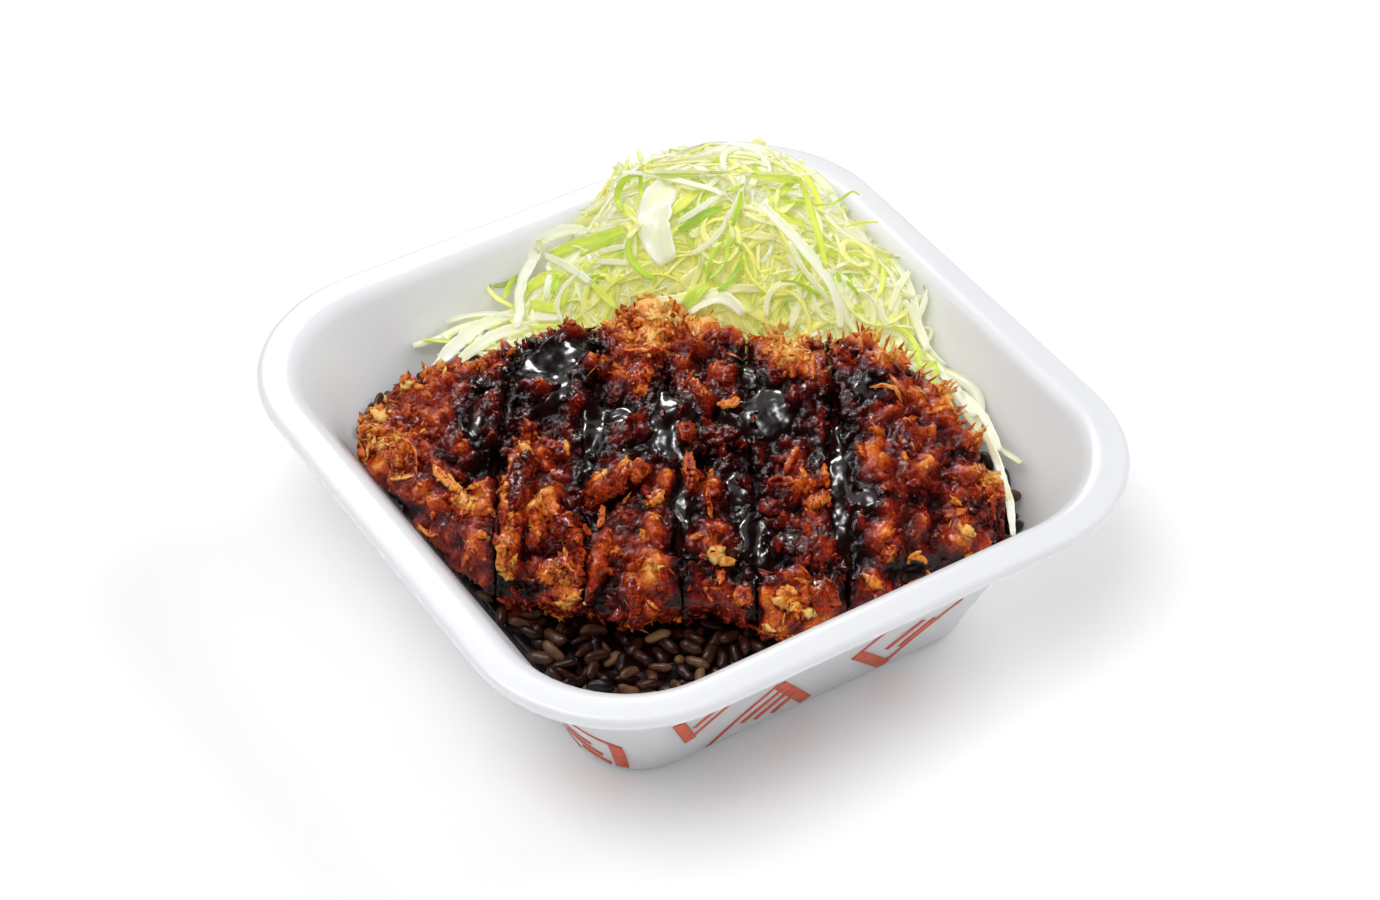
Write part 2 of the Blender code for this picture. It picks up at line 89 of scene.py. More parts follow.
# Cutlet
LAY_ANGLE = math.radians(-33.2)
CUTLET_FRONT_Z = 32.2 * MM
CUTLET_PITCH = 0.13
CUTLET_THICKNESS = 17.0 * MM
CUTLET_DROOP = 3.0 * MM
CUTLET_FRONT = -50.0 * MM
END_ROUND = 5.0 * MM
SLICE_GAP = 0.5 * MM
CUT_SHOULDER = 0.7 * MM
BULGE_HEIGHT = 3.2 * MM
BULGE_SPAN = 18.0 * MM
SIDE_ROUNDING = 0.26
EDGE_ROUNDING = 0.40
END_THINNING = 0.32
SEAM_DEPTH = 1.5 * MM
CLUMP_SPAN, CLUMP_HEIGHT = 8.5 * MM, 4.4 * MM
KNOB_SPAN, KNOB_HEIGHT = 4.3 * MM, 2.6 * MM
CRUMB_SPAN, CRUMB_HEIGHT = 2.6 * MM, 1.2 * MM
GRIT_SPAN, GRIT_HEIGHT = 1.25 * MM, 0.7 * MM
CUT_SPAN = 85.0 * MM

# Cabbage
HEAP_CENTRE = (8.0 * MM, 60.0 * MM)
HEAP_TOP = 69.5 * MM
HEAP_LEFT = 56.0 * MM
HEAP_RIGHT = 66.0 * MM
HEAP_FRONT = 34.0 * MM
HEAP_BACK = 46.0 * MM
HEAP_FOOT = 40.0 * MM
CORE_DEPTH = 2.6 * MM
HANGING_SHREDS = 150
TOP_ROOM = 3.0 * MM
TOP_MARGIN = 0.1 * MM

# Seeds of the random draws.
SLICE_SEED, RICE_SEED, HANGING_SEED, NOTED_SEED = 300, 12, 55, 77

# The cutlet's outline in plan: (along, front edge, back edge) in mm.
CUTLET_PLAN = (
    (-78.0, -8.0, 3.0),
    (-73.0, -16.0, 9.0),
    (-64.0, -27.5, 14.0),
    (-53.0, -39.0, 18.0),
    (-43.0, -49.0, 23.5),
    (-32.0, -52.0, 27.0),
    (-22.0, -54.5, 28.5),
    (-12.0, -57.0, 34.0),
    (-2.0, -54.5, 33.5),
    (6.0, -54.0, 30.0),
    (15.0, -57.5, 26.5),
    (25.0, -61.0, 24.0),
    (34.5, -58.0, 25.0),
    (45.0, -52.0, 26.5),
    (56.0, -45.0, 20.0),
    (66.0, -38.0, 7.0),
    (71.0, -33.0, -5.0),
    (74.0, -27.0, -13.0),
)

# Where the cutlet is cut: (along at the front, along at the back) in mm.
CUTS = ((-44.0, -42.0), (-23.5, -21.0), (-0.5, -7.0), (16.5, 12.5), (36.0, 32.0))
LAST_SLICE = len(CUTS)

# How open each cut looks at places across the cutlet, in mm: elsewhere crust hides it.
OPENNESS_PLACES = (-56.0, -38.0, -20.0, -5.0, 8.0, 22.0)
CUT_OPENNESS = (
    (0.9, 0.7, 0.3, 0.5, 0.5, 0.2),
    (0.5, 0.3, 0.9, 1.0, 0.4, 0.3),
    (0.3, 0.8, 1.0, 0.8, 0.2, 0.1),
    (0.9, 0.9, 0.5, 0.6, 0.8, 0.3),
    (0.3, 0.9, 1.0, 1.0, 0.6, 0.3),
)

# Sauce lying in pools on the cutlet: (along, across, half length, half width) in mm, and how full
# each pool is.
SAUCE_POOLS = (
    (-32.0, 9.0, 8.0, 12.0, 1.3),
    (-49.5, -8.0, 3.2, 9.0, 0.9),
    (-22.5, -12.0, 3.2, 13.0, 1.0),
    (-16.0, -6.5, 5.0, 5.0, 0.8),
    (-14.5, -16.0, 4.5, 3.0, 0.7),
    (-3.5, -9.0, 6.0, 9.0, 1.1),
    (-0.5, -33.0, 2.6, 10.0, 0.8),
    (18.5, -5.0, 9.0, 7.0, 1.3),
    (14.5, 9.0, 3.5, 3.5, 0.6),
    (12.0, -27.0, 4.5, 6.0, 0.8),
    (15.5, -40.0, 5.0, 9.0, 1.0),
    (35.3, -24.0, 2.8, 16.0, 0.8),
    (41.0, -29.0, 4.0, 4.0, 0.6),
    (26.0, -41.0, 5.0, 3.5, 0.6),
    (42.0, 4.0, 4.0, 4.0, 0.6),
)

# A patch of crust glazed smooth: (along, across, half length, half width) in mm.
GLAZED_PATCH = (6.0, -55.0, 9.0, 4.0)

# Crust left dry and golden: (along, across, reach) in mm, and how pale it is.
DRY_PATCHES = (
    (-10.0, 23.0, 10.0, 0.42),
    (-3.0, 27.0, 7.0, 0.56),
    (-36.0, -9.0, 6.0, 0.24),
    (-26.5, -50.0, 6.0, 0.22),
    (-72.0, -5.0, 9.0, 0.44),
    (-50.0, -29.0, 5.0, 0.45),
    (-66.0, 5.0, 6.0, 0.16),
    (-48.0, 12.0, 4.5, 0.40),
    (24.0, 17.0, 8.0, 0.44),
    (29.0, 8.0, 4.0, 0.38),
    (60.0, 8.0, 8.0, 0.48),
    (70.0, 1.0, 7.0, 0.54),
    (72.0, -15.0, 7.0, 0.54),
    (64.0, -35.0, 6.0, 0.40),
    (45.0, 19.0, 7.0, 0.48),
    (28.0, -57.0, 8.0, 0.30),
    (-9.0, -51.0, 6.0, 0.18),
    (2.0, -24.0, 4.5, 0.28),
    (30.0, -27.0, 5.0, 0.30),
)

# Long ridges of crust: (along, across, heading in degrees, half length, half width, height), with
# lengths in mm.
RIDGES = (
    (-40.0, -38.0, 92.0, 11.0, 2.8, 2.4),
    (-39.5, -21.0, 84.0, 8.0, 2.8, 1.8),
    (-28.0, -38.0, -58.0, 10.0, 2.4, 2.4),
    (-16.0, -25.0, 22.0, 9.0, 2.8, 2.6),
    (-20.0, -46.0, 84.0, 7.0, 2.6, 1.6),
    (-62.0, -14.0, -50.0, 8.0, 2.2, 1.6),
    (-8.0, -44.0, 86.0, 8.0, 2.6, 1.4),
    (44.0, -8.0, 76.0, 9.0, 2.8, 1.6),
    (58.0, -12.0, 70.0, 9.0, 2.6, 1.6),
    (24.0, -24.0, 80.0, 8.0, 2.6, 1.2),
)

# Strands and lumps of crust that stand out in the photo: width in mm, tone at the start and at the
# end, and the places they pass, in the photo's pixels.
STRANDS = (
    (0.9, 0.92, 0.74, ((375, 435), (394, 436), (407, 442), (413, 452), (418, 464), (418, 475))),
    (4.0, 0.66, 0.74, ((396, 452), (400, 465))),
    (1.3, 1.00, 1.00, ((392, 483), (403, 478), (413, 472))),
    (2.4, 1.05, 1.02, ((430, 465), (440, 475), (452, 485), (466, 491))),
    (1.2, 0.98, 0.98, ((450, 476), (458, 484))),
    (4.6, 0.90, 0.80, ((458, 497), (470, 503), (484, 508), (493, 511))),
    (1.5, 0.80, 0.84, ((490, 487), (493, 500), (494, 513))),
    (1.3, 0.90, 0.84, ((477, 480), (484, 490))),
    (5.2, 0.46, 0.54, ((527, 450), (523, 470), (517, 494), (513, 507))),
    (1.8, 0.74, 0.66, ((507, 452), (512, 461), (512, 470))),
    (3.2, 0.62, 0.90, ((514, 506), (513, 531), (509, 551), (507, 571), (510, 580))),
    (2.6, 0.74, 0.84, ((532, 510), (535, 525), (536, 545))),
    (2.1, 0.92, 0.78, ((543, 491), (549, 502), (554, 513))),
    (3.6, 0.66, 0.62, ((554, 511), (563, 525), (571, 542), (580, 563), (586, 567))),
    (1.2, 0.92, 0.90, ((556, 525), (563, 542), (569, 557))),
    (0.9, 0.76, 0.76, ((580, 522), (584, 531), (586, 541))),
    (4.6, 0.78, 0.68, ((561, 565), (574, 570), (586, 578))),
    (1.6, 0.92, 0.88, ((560, 566), (562, 577))),
    (4.4, 0.54, 0.64, ((583, 504), (597, 494), (615, 483), (634, 474), (650, 466))),
    (1.6, 0.84, 0.86, ((634, 481), (643, 474), (651, 470))),
    (1.3, 0.78, 0.82, ((599, 504), (601, 515), (597, 524))),
    (0.8, 0.92, 0.90, ((415, 531), (426, 535), (434, 533))),
    (2.0, 0.76, 0.72, ((466, 548), (475, 560))),
    (1.8, 0.90, 0.86, ((475, 531), (484, 535))),
    (1.6, 0.84, 0.80, ((564, 437), (568, 452))),
    (4.0, 0.60, 0.62, ((520, 433), (537, 428))),
    (2.6, 0.86, 0.82, ((660, 494), (651, 499), (643, 503))),
    (3.4, 0.60, 0.56, ((686, 421), (684, 432), (683, 442))),
    (2.6, 0.76, 0.70, ((691, 455), (693, 470), (691, 486))),
    (1.4, 0.92, 0.92, ((697, 472), (699, 481))),
    (1.3, 0.78, 0.82, ((704, 489), (709, 502), (713, 515))),
    (2.4, 0.74, 0.72, ((692, 376), (695, 387), (698, 396))),
    (1.9, 0.86, 0.92, ((721, 407), (731, 401), (742, 395))),
    (2.9, 0.56, 0.52, ((684, 420), (681, 432), (680, 442))),
    (2.0, 0.56, 0.60, ((767, 479), (778, 480), (789, 484))),
    (3.4, 0.96, 0.74, ((802, 507), (815, 499), (830, 491))),
    (1.6, 0.76, 0.72, ((824, 461), (829, 472), (830, 484))),
    (3.8, 1.05, 1.04, ((714, 545), (719, 551), (725, 557))),
    (2.2, 1.00, 0.98, ((704, 556), (715, 562), (730, 562), (741, 558))),
    (2.4, 0.98, 0.98, ((786, 594), (795, 598))),
    (3.0, 0.84, 0.80, ((822, 583), (832, 584))),
    (3.8, 0.50, 0.52, ((759, 499), (768, 505), (777, 510))),
    (4.6, 0.74, 0.76, ((733, 589), (740, 598), (747, 607))),
    (4.2, 0.98, 0.92, ((783, 598), (790, 603), (797, 607))),
    (6.0, 0.62, 0.66, ((827, 581), (826, 596), (823, 610))),
    (2.8, 0.88, 0.82, ((805, 632), (814, 636), (823, 639))),
    (1.2, 1.00, 0.98, ((913, 558), (922, 562), (931, 565))),
    (1.0, 0.98, 0.96, ((917, 549), (914, 557), (912, 566))),
    (2.8, 1.00, 0.94, ((964, 531), (972, 534), (978, 538))),
    (1.6, 0.92, 0.86, ((901, 600), (908, 590), (917, 578))),
    (1.4, 0.92, 0.92, ((917, 592), (926, 588), (935, 584))),
    (1.0, 0.98, 0.98, ((931, 571), (934, 577), (937, 583))),
    (2.5, 0.76, 0.74, ((891, 545), (888, 560))),
    (2.4, 0.66, 0.70, ((857, 440), (859, 448), (861, 456))),
    (1.3, 0.80, 0.76, ((800, 444), (795, 458), (789, 472))),
    (3.4, 0.58, 0.54, ((917, 420), (909, 431), (905, 444), (911, 453))),
    (1.0, 0.94, 0.86, ((873, 384), (884, 386), (893, 389), (905, 400))),
    (0.9, 0.92, 0.86, ((893, 372), (901, 382), (909, 394))),
    (1.2, 0.86, 0.82, ((933, 412), (943, 405), (951, 403))),
    (1.4, 0.94, 0.90, ((676, 302), (678, 312), (681, 326))),
    (1.2, 0.90, 0.84, ((690, 316), (691, 324), (692, 334))),
    (1.2, 0.88, 0.80, ((632, 322), (639, 331), (646, 341))),
    (0.9, 0.90, 0.84, ((624, 347), (634, 349), (646, 354))),
    (1.1, 0.84, 0.80, ((708, 328), (704, 335), (700, 343))),
    (1.3, 0.94, 0.88, ((774, 317), (778, 332), (780, 347))),
    (1.4, 0.90, 0.82, ((814, 352), (813, 364), (810, 377))),
    (1.6, 0.78, 0.74, ((785, 361), (791, 368), (797, 377))),
    (1.2, 0.84, 0.80, ((859, 334), (859, 341), (858, 349))),
    (1.3, 0.88, 0.82, ((886, 343), (884, 352), (880, 363))),
    (2.8, 0.62, 0.58, ((628, 576), (634, 590), (637, 604), (633, 618), (630, 628))),
)


def srgb(text):
    """Linear colour of an sRGB hex value."""
    parts = [int(text[k:k + 2], 16) / 255.0 for k in (1, 3, 5)]
    linear = [c / 12.92 if c <= 0.04045 else ((c + 0.055) / 1.055) ** 2.4 for c in parts]
    return (*linear, 1.0)


# Noise


# Large odd numbers that scatter the bits of a cell's place and of the sum.
AXIS_SCATTER = (0x9E3779B97F4A7C15, 0xC2B2AE3D27D4EB4F, 0x165667B19E3779F9)
SUM_SCATTER = 0xBF58476D1CE4E5B9
SEED_STRIDE = 7919


def cell_number(cells, seed):
    """A repeatable number from 0 to 1 for each whole-number cell."""
    c = cells.astype(np.int64).view(np.uint64)
    h = np.zeros(c.shape[:-1], np.uint64)
    for axis, scatter in enumerate(AXIS_SCATTER):
        h ^= c[..., axis] * np.uint64(scatter)
    h += np.uint64(SEED_STRIDE * seed + 1)
    for shift in (31, 29):
        h ^= h >> np.uint64(shift)
        h *= np.uint64(SUM_SCATTER)
    return (h >> np.uint64(11)).astype(float) * 2.0 ** -53


def ripple(points, span, seed):
    """Smooth noise from -1 to 1 with lumps about span across; the seed picks the pattern."""
    p = points / span
    base = np.floor(p)
    f = p - base
    f = f * f * (3.0 - 2.0 * f)
    total = np.zeros(p.shape[:-1])
    for corner in np.ndindex(2, 2, 2):
        weight = np.prod(np.where(corner, f, 1.0 - f), axis=-1)
        total += weight * cell_number(base + corner, seed)
    return total * 2.0 - 1.0


def ripples(points, span, seed):
    """Three ripples with seeds that follow on, for a shift in every direction."""
    return np.stack([ripple(points, span, seed + k) for k in range(3)], -1)


def cobbles(points, span, seed):
    """Distance to the nearest of scattered centres, in spans, and a number of that centre."""
    p = points / span
    base = np.floor(p)
    nearest = np.full(p.shape[:-1], 9.0)
    number = np.zeros(p.shape[:-1])
    for step in np.ndindex(3, 3, 3):
        cell = base + np.array(step) - 1.0
        centre = cell + np.stack([cell_number(cell, seed + k) for k in (1, 2, 3)], -1)
        dist = np.linalg.norm(p - centre, axis=-1)
        closer = dist < nearest
        nearest = np.where(closer, dist, nearest)
        number = np.where(closer, cell_number(cell, seed + 4), number)
    return nearest, number


def smooth_step(low, high, value):
    """0 below low and 1 above high, with a smooth rise between."""
    t = np.clip((value - low) / (high - low), 0.0, 1.0)
    return t * t * (3.0 - 2.0 * t)


# Meshes


def mesh_piece(name, points, faces, fields=None):
    """One mesh object from arrays, with any named numbers kept at its points."""
    mesh = bpy.data.meshes.new(name)
    mesh.from_pydata(points.tolist(), [], faces.tolist())
    for field, values in (fields or {}).items():
        mesh.attributes.new(field, "FLOAT", "POINT").data.foreach_set("value", values.astype(np.float32))
    obj = bpy.data.objects.new(name, mesh)
    bpy.context.scene.collection.objects.link(obj)
    mesh.shade_smooth()
    return obj


def thicken(sheet, thickness):
    """Gives a sheet its thickness, inwards from the face that shows."""
    bpy.ops.object.select_all(action="DESELECT")
    sheet.select_set(True)
    bpy.context.view_layer.objects.active = sheet
    solid = sheet.modifiers.new("Thickness", "SOLIDIFY")
    solid.thickness = thickness
    solid.offset = -1.0
    bpy.ops.object.modifier_apply(modifier=solid.name)
    return sheet


def join_arrays(parts):
    """Joins (points, faces, fields) parts into one, with the faces renumbered."""
    points, faces, start = [], [], 0
    for part in parts:
        points.append(part[0])
        faces.append(part[1] + start)
        start += len(part[0])
    fields = {key: np.concatenate([part[2][key] for part in parts]) for key in parts[0][2]}
    return np.concatenate(points), np.concatenate(faces), fields


def unit(vectors, least=1e-9):
    """Vectors made one long; least keeps very short ones from growing without end."""
    return vectors / np.maximum(np.linalg.norm(vectors, axis=-1, keepdims=True), least)


def split_quads(quads):
    """Two triangles for each quad."""
    return np.concatenate([quads[:, (0, 1, 2)], quads[:, (0, 2, 3)]])


def grid_quads(ids, beside):
    """Quads between the rows of a grid of point numbers and of those beside them."""
    return np.stack([ids[:-1], beside[:-1], beside[1:], ids[1:]], -1).reshape(-1, 4)


def closed_rings(rings):
    """Points and triangles of a shape made of rings, with both ends closed by a fan."""
    around = len(rings[0])
    ends = [rings[0].mean(0, keepdims=True), rings[-1].mean(0, keepdims=True)]
    points = np.concatenate([*rings, *ends])
    ids = np.arange(len(rings) * around).reshape(len(rings), around)
    beside = np.roll(ids, -1, 1)
    first = np.full(around, len(points) - 2)
    fans = [np.stack([first, beside[0], ids[0]], -1), np.stack([first + 1, ids[-1], beside[-1]], -1)]
    return points, np.concatenate([split_quads(grid_quads(ids, beside)), *fans])


def smooth_path(corners, spacing, rounds, shortest=0.0):
    """A rounded path through corners, with places on it about spacing apart."""
    run = np.concatenate([[0.0], np.cumsum(np.linalg.norm(np.diff(corners, axis=0), axis=1))])
    steps = np.linspace(0.0, run[-1], max(6, int(max(run[-1], shortest) / spacing)))
    path = np.stack([np.interp(steps, run, corners[:, k]) for k in range(3)], -1)
    for _ in range(rounds):
        path[1:-1] = 0.5 * path[1:-1] + 0.25 * (path[:-2] + path[2:])
    return path


def point_normals(points, quads):
    """Normals at the points of a closed shape of quads."""
    normals = np.zeros_like(points)
    a, b, c, d = (points[quads[:, k]] for k in range(4))
    face = np.cross(c - a, d - b)
    for k in range(4):
        np.add.at(normals, quads[:, k], face)
    return unit(normals, 1e-12)


def box_shell(cells):
    """Points from -1 to 1 and outward quads of a closed box cut into cells along each axis."""
    counts = np.array(cells)
    corners = []
    for axis in range(3):
        u, v = (axis + 1) % 3, (axis + 2) % 3
        i, j = (g.ravel() for g in np.meshgrid(np.arange(counts[u]), np.arange(counts[v])))
        for end in (0, counts[axis]):
            quad = np.zeros((len(i), 4, 3), int)
            quad[..., axis] = end
            order = ((0, 0), (1, 0), (1, 1), (0, 1))
            for k, (du, dv) in enumerate(order if end else order[::-1]):
                quad[:, k, u] = i + du
                quad[:, k, v] = j + dv
            corners.append(quad)
    corners = np.concatenate(corners).reshape(-1, 3)
    stations, faces = np.unique(corners, axis=0, return_inverse=True)
    return stations * 2.0 / counts - 1.0, faces.reshape(-1, 4)


# Bowl


def inner_half(z):
    """Half the width between the inner walls at height z."""
    return WALL_FOOT + WALL_LEAN * z + WALL_FLARE * z * z


def wall_angle(z):
    """Angle of the wall from the horizontal at height z, in degrees."""
    return math.degrees(math.atan2(1.0, WALL_LEAN + 2.0 * WALL_FLARE * z))


def outer_half(z):
    """Half the width across the outer walls at height z."""
    return inner_half(z) + WALL_THICKNESS / math.sin(math.radians(wall_angle(z)))


def corner_radius(half):
    """Radius of the bowl's rounded corners where it is twice half wide."""
    crown = RIM_HALF - FLANGE_WIDTH
    below = crown - (RIM_HALF - RIM_CORNER) - CORNER_TAPER * (crown - half)
    return np.where(half >= crown, half - (RIM_HALF - RIM_CORNER), below)


def wall_reach(x, y, z):
    """How far a point is inside the bowl's inner wall; negative outside."""
    half = inner_half(z)
    radius = corner_radius(half)
    dx = np.abs(x) - (half - radius)
    dy = np.abs(y) - (half - radius)
    corner = radius - np.hypot(dx, dy)
    side = half - np.maximum(np.abs(x), np.abs(y))
    return np.where((dx > 0.0) & (dy > 0.0), corner, side)


def keep_off_wall(points, keep):
    """Moves points that are too near the bowl's wall inwards."""
    x, y, z = points.T
    z = np.minimum(z, BOWL_HEIGHT)
    for _ in range(3):
        pull = np.maximum(0.0, keep - wall_reach(x, y, z)) / np.maximum(np.hypot(x, y), 1.0 * MM)
        x = x - pull * x
        y = y - pull * y
    return np.stack([x, y, points[:, 2]], -1)


def arc(cx, cz, radius, start, end, steps):
    """Points on part of a circle, with angles in degrees."""
    angles = np.radians(np.linspace(start, end, steps + 1))
    return [(cx + radius * math.cos(a), cz + radius * math.sin(a)) for a in angles]


def cove_arc(steps, upwards):
    """The curve between the floor and the inner wall."""
    low = wall_angle(FLOOR_THICKNESS)
    half = inner_half(FLOOR_THICKNESS) - COVE_RADIUS * math.tan(math.radians(low / 2.0))
    ends = (-90.0, low - 90.0) if upwards else (low - 90.0, -90.0)
    return arc(half, FLOOR_THICKNESS + COVE_RADIUS, COVE_RADIUS, *ends, steps)


def bowl_profile():
    """Half section from the underside out over the rim and down to the floor."""
    low = wall_angle(0.0)
    foot_half = outer_half(0.0) - FOOT_RADIUS * math.tan(math.radians(low / 2.0))
    profile = arc(foot_half, FOOT_RADIUS, FOOT_RADIUS, -90.0, low - 90.0, 8)
    profile += [(outer_half(z), z) for z in np.linspace(5.0, 44.0, 14) * MM]
    under = BOWL_HEIGHT - LIP_THICKNESS
    high = wall_angle(under)
    fold_half = outer_half(under) + FOLD_RADIUS * math.tan(math.radians(high / 2.0))
    profile += arc(fold_half, under - FOLD_RADIUS, FOLD_RADIUS, 90.0 + high, 90.0, 6)
    bead = LIP_THICKNESS / 2.0
    profile += arc(RIM_HALF - bead, BOWL_HEIGHT - bead, bead, -90.0, 90.0, 12)
    crown_half = RIM_HALF - FLANGE_WIDTH
    profile += arc(crown_half, BOWL_HEIGHT - CROWN_RADIUS, CROWN_RADIUS, 90.0, 90.0 + high, 10)
    profile += [(inner_half(z), z) for z in np.linspace(46.0, 11.0, 14) * MM]
    return profile + cove_arc(8, upwards=False)


def rounded_square(half, z, segments, straight):
    """Points of a square section with round corners, with extra points along each side."""
    radius = float(corner_radius(half))
    centre = half - radius
    points = []
    for quarter in range(4):
        turn = math.radians(90.0 * quarter)
        for k in range(segments + 1):
            angle = math.radians(90.0 * k / segments)
            x, y = centre + radius * math.cos(angle), centre + radius * math.sin(angle)
            points.append((x, y, turn))
        for k in range(1, straight):
            points.append((centre - 2.0 * centre * k / straight, half, turn))
    turned = []
    for x, y, turn in points:
        c, s = math.cos(turn), math.sin(turn)
        turned.append((x * c - y * s, x * s + y * c, z))
    return np.array(turned)


def bowl_rings():
    """The bowl's sections from the middle of its underside to the middle of its floor."""
    rings = [rounded_square(half, z, 14, 10) for half, z in bowl_profile()]
    flat = np.array([1.0, 1.0, 0.0])
    rise = np.array([0.0, 0.0, 1.0])
    under = [rings[0] * (flat * share + rise) for share in (0.001, 0.4, 0.8)]
    floor = [rings[-1] * (flat * share + rise) for share in (0.8, 0.4, 0.001)]
    return under + rings + floor


def make_bowl():
    """A grid rolled up into the bowl: one row of points for each ring of the section."""
    rings = bowl_rings()
    around = len(rings[0])
    bpy.ops.object.select_all(action="DESELECT")
    bpy.ops.mesh.primitive_grid_add(x_subdivisions=around, y_subdivisions=len(rings) - 1, size=2.0)
    bowl = bpy.context.object
    bowl.name = "foam_bowl"
    count = len(bowl.data.vertices)
    flat = np.empty(count * 3)
    bowl.data.vertices.foreach_get("co", flat)
    flat = flat.reshape(-1, 3)
    column = np.rint((flat[:, 0] + 1.0) / 2.0 * around).astype(int) % around
    row = np.rint((flat[:, 1] + 1.0) / 2.0 * (len(rings) - 1)).astype(int)
    placed = np.array(rings)[row, column]
    bowl.data.vertices.foreach_set("co", placed.ravel())
    bpy.ops.object.mode_set(mode="EDIT")
    bpy.ops.mesh.select_all(action="SELECT")
    bpy.ops.mesh.remove_doubles(threshold=MERGE_DISTANCE)
    bpy.ops.mesh.normals_make_consistent(inside=False)
    bpy.ops.object.mode_set(mode="OBJECT")
    bpy.ops.object.shade_smooth()
    return bowl


# Print on the outer wall


# Lines of the turned squares: (wall, width, corners as (right of the wall's middle, height)) in mm.
# Wall 0 is the near right one and wall 3 the near left one.
PRINT_LINES = (
    (0, 1.5, ((-29.0, 1.5), (-14.7, 22.5))),
    (0, 3.2, ((-14.7, 22.0), (-1.5, 3.0))),
    (0, 3.0, ((-43.5, 27.0), (-35.8, 11.6))),
    (0, 1.5, ((-36.5, 12.2), (-25.0, 31.0))),
    (0, 3.4, ((8.4, 17.5), (21.3, 2.2))),
    (0, 1.5, ((20.5, 3.0), (36.5, 23.0))),
    (0, 1.5, ((8.6, 17.0), (21.0, 34.0))),
    (0, 2.0, ((-20.5, 7.0), (-12.5, 17.0))),
    (0, 2.0, ((-16.5, 5.5), (-9.0, 14.5))),
    (0, 2.0, ((-11.5, 4.5), (-6.5, 10.5))),
    (0, 1.8, ((-37.0, 19.0), (-32.5, 26.0))),
    (0, 2.2, ((19.0, 11.5), (26.5, 20.5))),
    (0, 2.2, ((23.5, 9.5), (30.5, 18.5))),
    (3, 1.6, ((30.0, 30.0), (54.9, 15.4))),
    (3, 3.2, ((54.9, 15.8), (50.7, 2.1))),
    (3, 1.6, ((28.0, 24.0), (40.0, 4.0))),
    (3, 2.2, ((37.0, 16.5), (47.0, 11.5))),
    (3, 2.2, ((39.5, 11.5), (48.0, 7.0))),
    (3, 2.2, ((42.0, 6.5), (48.5, 3.2))),
)
INK_PROUD = 0.08 * MM
INK_THICKNESS = 0.06 * MM
INK_CELL = (1.5, 1.2)

# The lowest and highest place that ink may reach, in mm.
PRINT_LOW, PRINT_HIGH = 2.2, 47.0


def wall_point(wall, right, height):
    """A point just proud of the outer wall, right of the wall's middle as seen from outside."""
    half = outer_half(height) + INK_PROUD
    radius = float(corner_radius(outer_half(height))) + INK_PROUD
    centre = half - radius
    over = abs(right) - centre
    x, y = right, -half
    if over > 0.0:
        angle = over / radius
        x = math.copysign(centre + radius * math.sin(angle), right)
        y = -centre - radius * math.cos(angle)
    turn = math.radians(90.0 * wall)
    return (x * math.cos(turn) - y * math.sin(turn), x * math.sin(turn) + y * math.cos(turn), height)


def stroke(wall, start, end, width):
    """A flat stroke of ink from start to end, both (right, height) in mm, kept on the wall."""
    run = np.array(end) - np.array(start)
    side = np.array([-run[1], run[0]]) / np.linalg.norm(run) * width / 2.0
    steps = max(2, int(np.linalg.norm(run) / INK_CELL[0]))
    cells = max(2, int(width / INK_CELL[1]))
    points = []
    for k in range(steps + 1):
        for j in range(cells + 1):
            right, height = np.array(start) + run * k / steps + side * (2.0 * j / cells - 1.0)
            points.append(wall_point(wall, right * MM, float(np.clip(height, PRINT_LOW, PRINT_HIGH)) * MM))
    points = np.array(points)
    ids = np.arange(len(points)).reshape(steps + 1, cells + 1)
    quads = grid_quads(ids[:, :-1], ids[:, 1:])[:, (0, 3, 2, 1)]
    top = np.maximum(points[quads[:, 0], 2], points[quads[:, 2], 2])
    return points, quads[top > (PRINT_LOW + 0.01) * MM], {}


def make_print():
    """Turned squares of orange-red ink with a few plain bars inside, on the two walls that show."""
    parts = [stroke(wall, start, end, width) for wall, width, (start, end) in PRINT_LINES]
    points, faces, _ = join_arrays(parts)
    return thicken(mesh_piece("ink_squares", points, faces), INK_THICKNESS)


# Cutlet


def to_plan(along, across):
    """The x and y of places along and across the cutlet."""
    c, s = math.cos(LAY_ANGLE), math.sin(LAY_ANGLE)
    return along * c - across * s, along * s + across * c


def from_plan(x, y):
    """Places along and across the cutlet, from x and y."""
    c, s = math.cos(LAY_ANGLE), math.sin(LAY_ANGLE)
    return x * c + y * s, -x * s + y * c


def plan_points(along, across, z):
    """Points at heights z over places along and across the cutlet."""
    return np.stack([*to_plan(along, across), z], -1)


def plan_edges(along):
    """Front and back edge of the cutlet at places along it."""
    table = np.array(CUTLET_PLAN) * MM
    return np.interp(along, table[:, 0], table[:, 1]), np.interp(along, table[:, 0], table[:, 2])


def inside_cutlet(along, across, margin):
    """True inside the cutlet's outline, widened by margin."""
    front, back = plan_edges(along)
    first, last = CUTLET_PLAN[0][0] * MM, CUTLET_PLAN[-1][0] * MM
    return ((along > first - margin) & (along < last + margin)
            & (across > front - margin) & (across < back + margin))


def cutlet_underside(along, across):
    """Height of the cutlet's underside, which slopes up to the heap and droops at both ends."""
    droop = CUTLET_DROOP * np.minimum(1.0, np.abs(along / (75.0 * MM))) ** 2
    return CUTLET_FRONT_Z + CUTLET_PITCH * np.maximum(0.0, across - CUTLET_FRONT) - droop


def cut_line(index, across):
    """Where a cut runs along the cutlet, at places across it: nearly straight, with a slight wave."""
    front, back = CUTS[index]
    t = (across - CUTLET_FRONT) / CUT_SPAN
    return (front + (back - front) * t + 0.7 * np.sin(across / MM * 0.11 + index * 1.7)) * MM


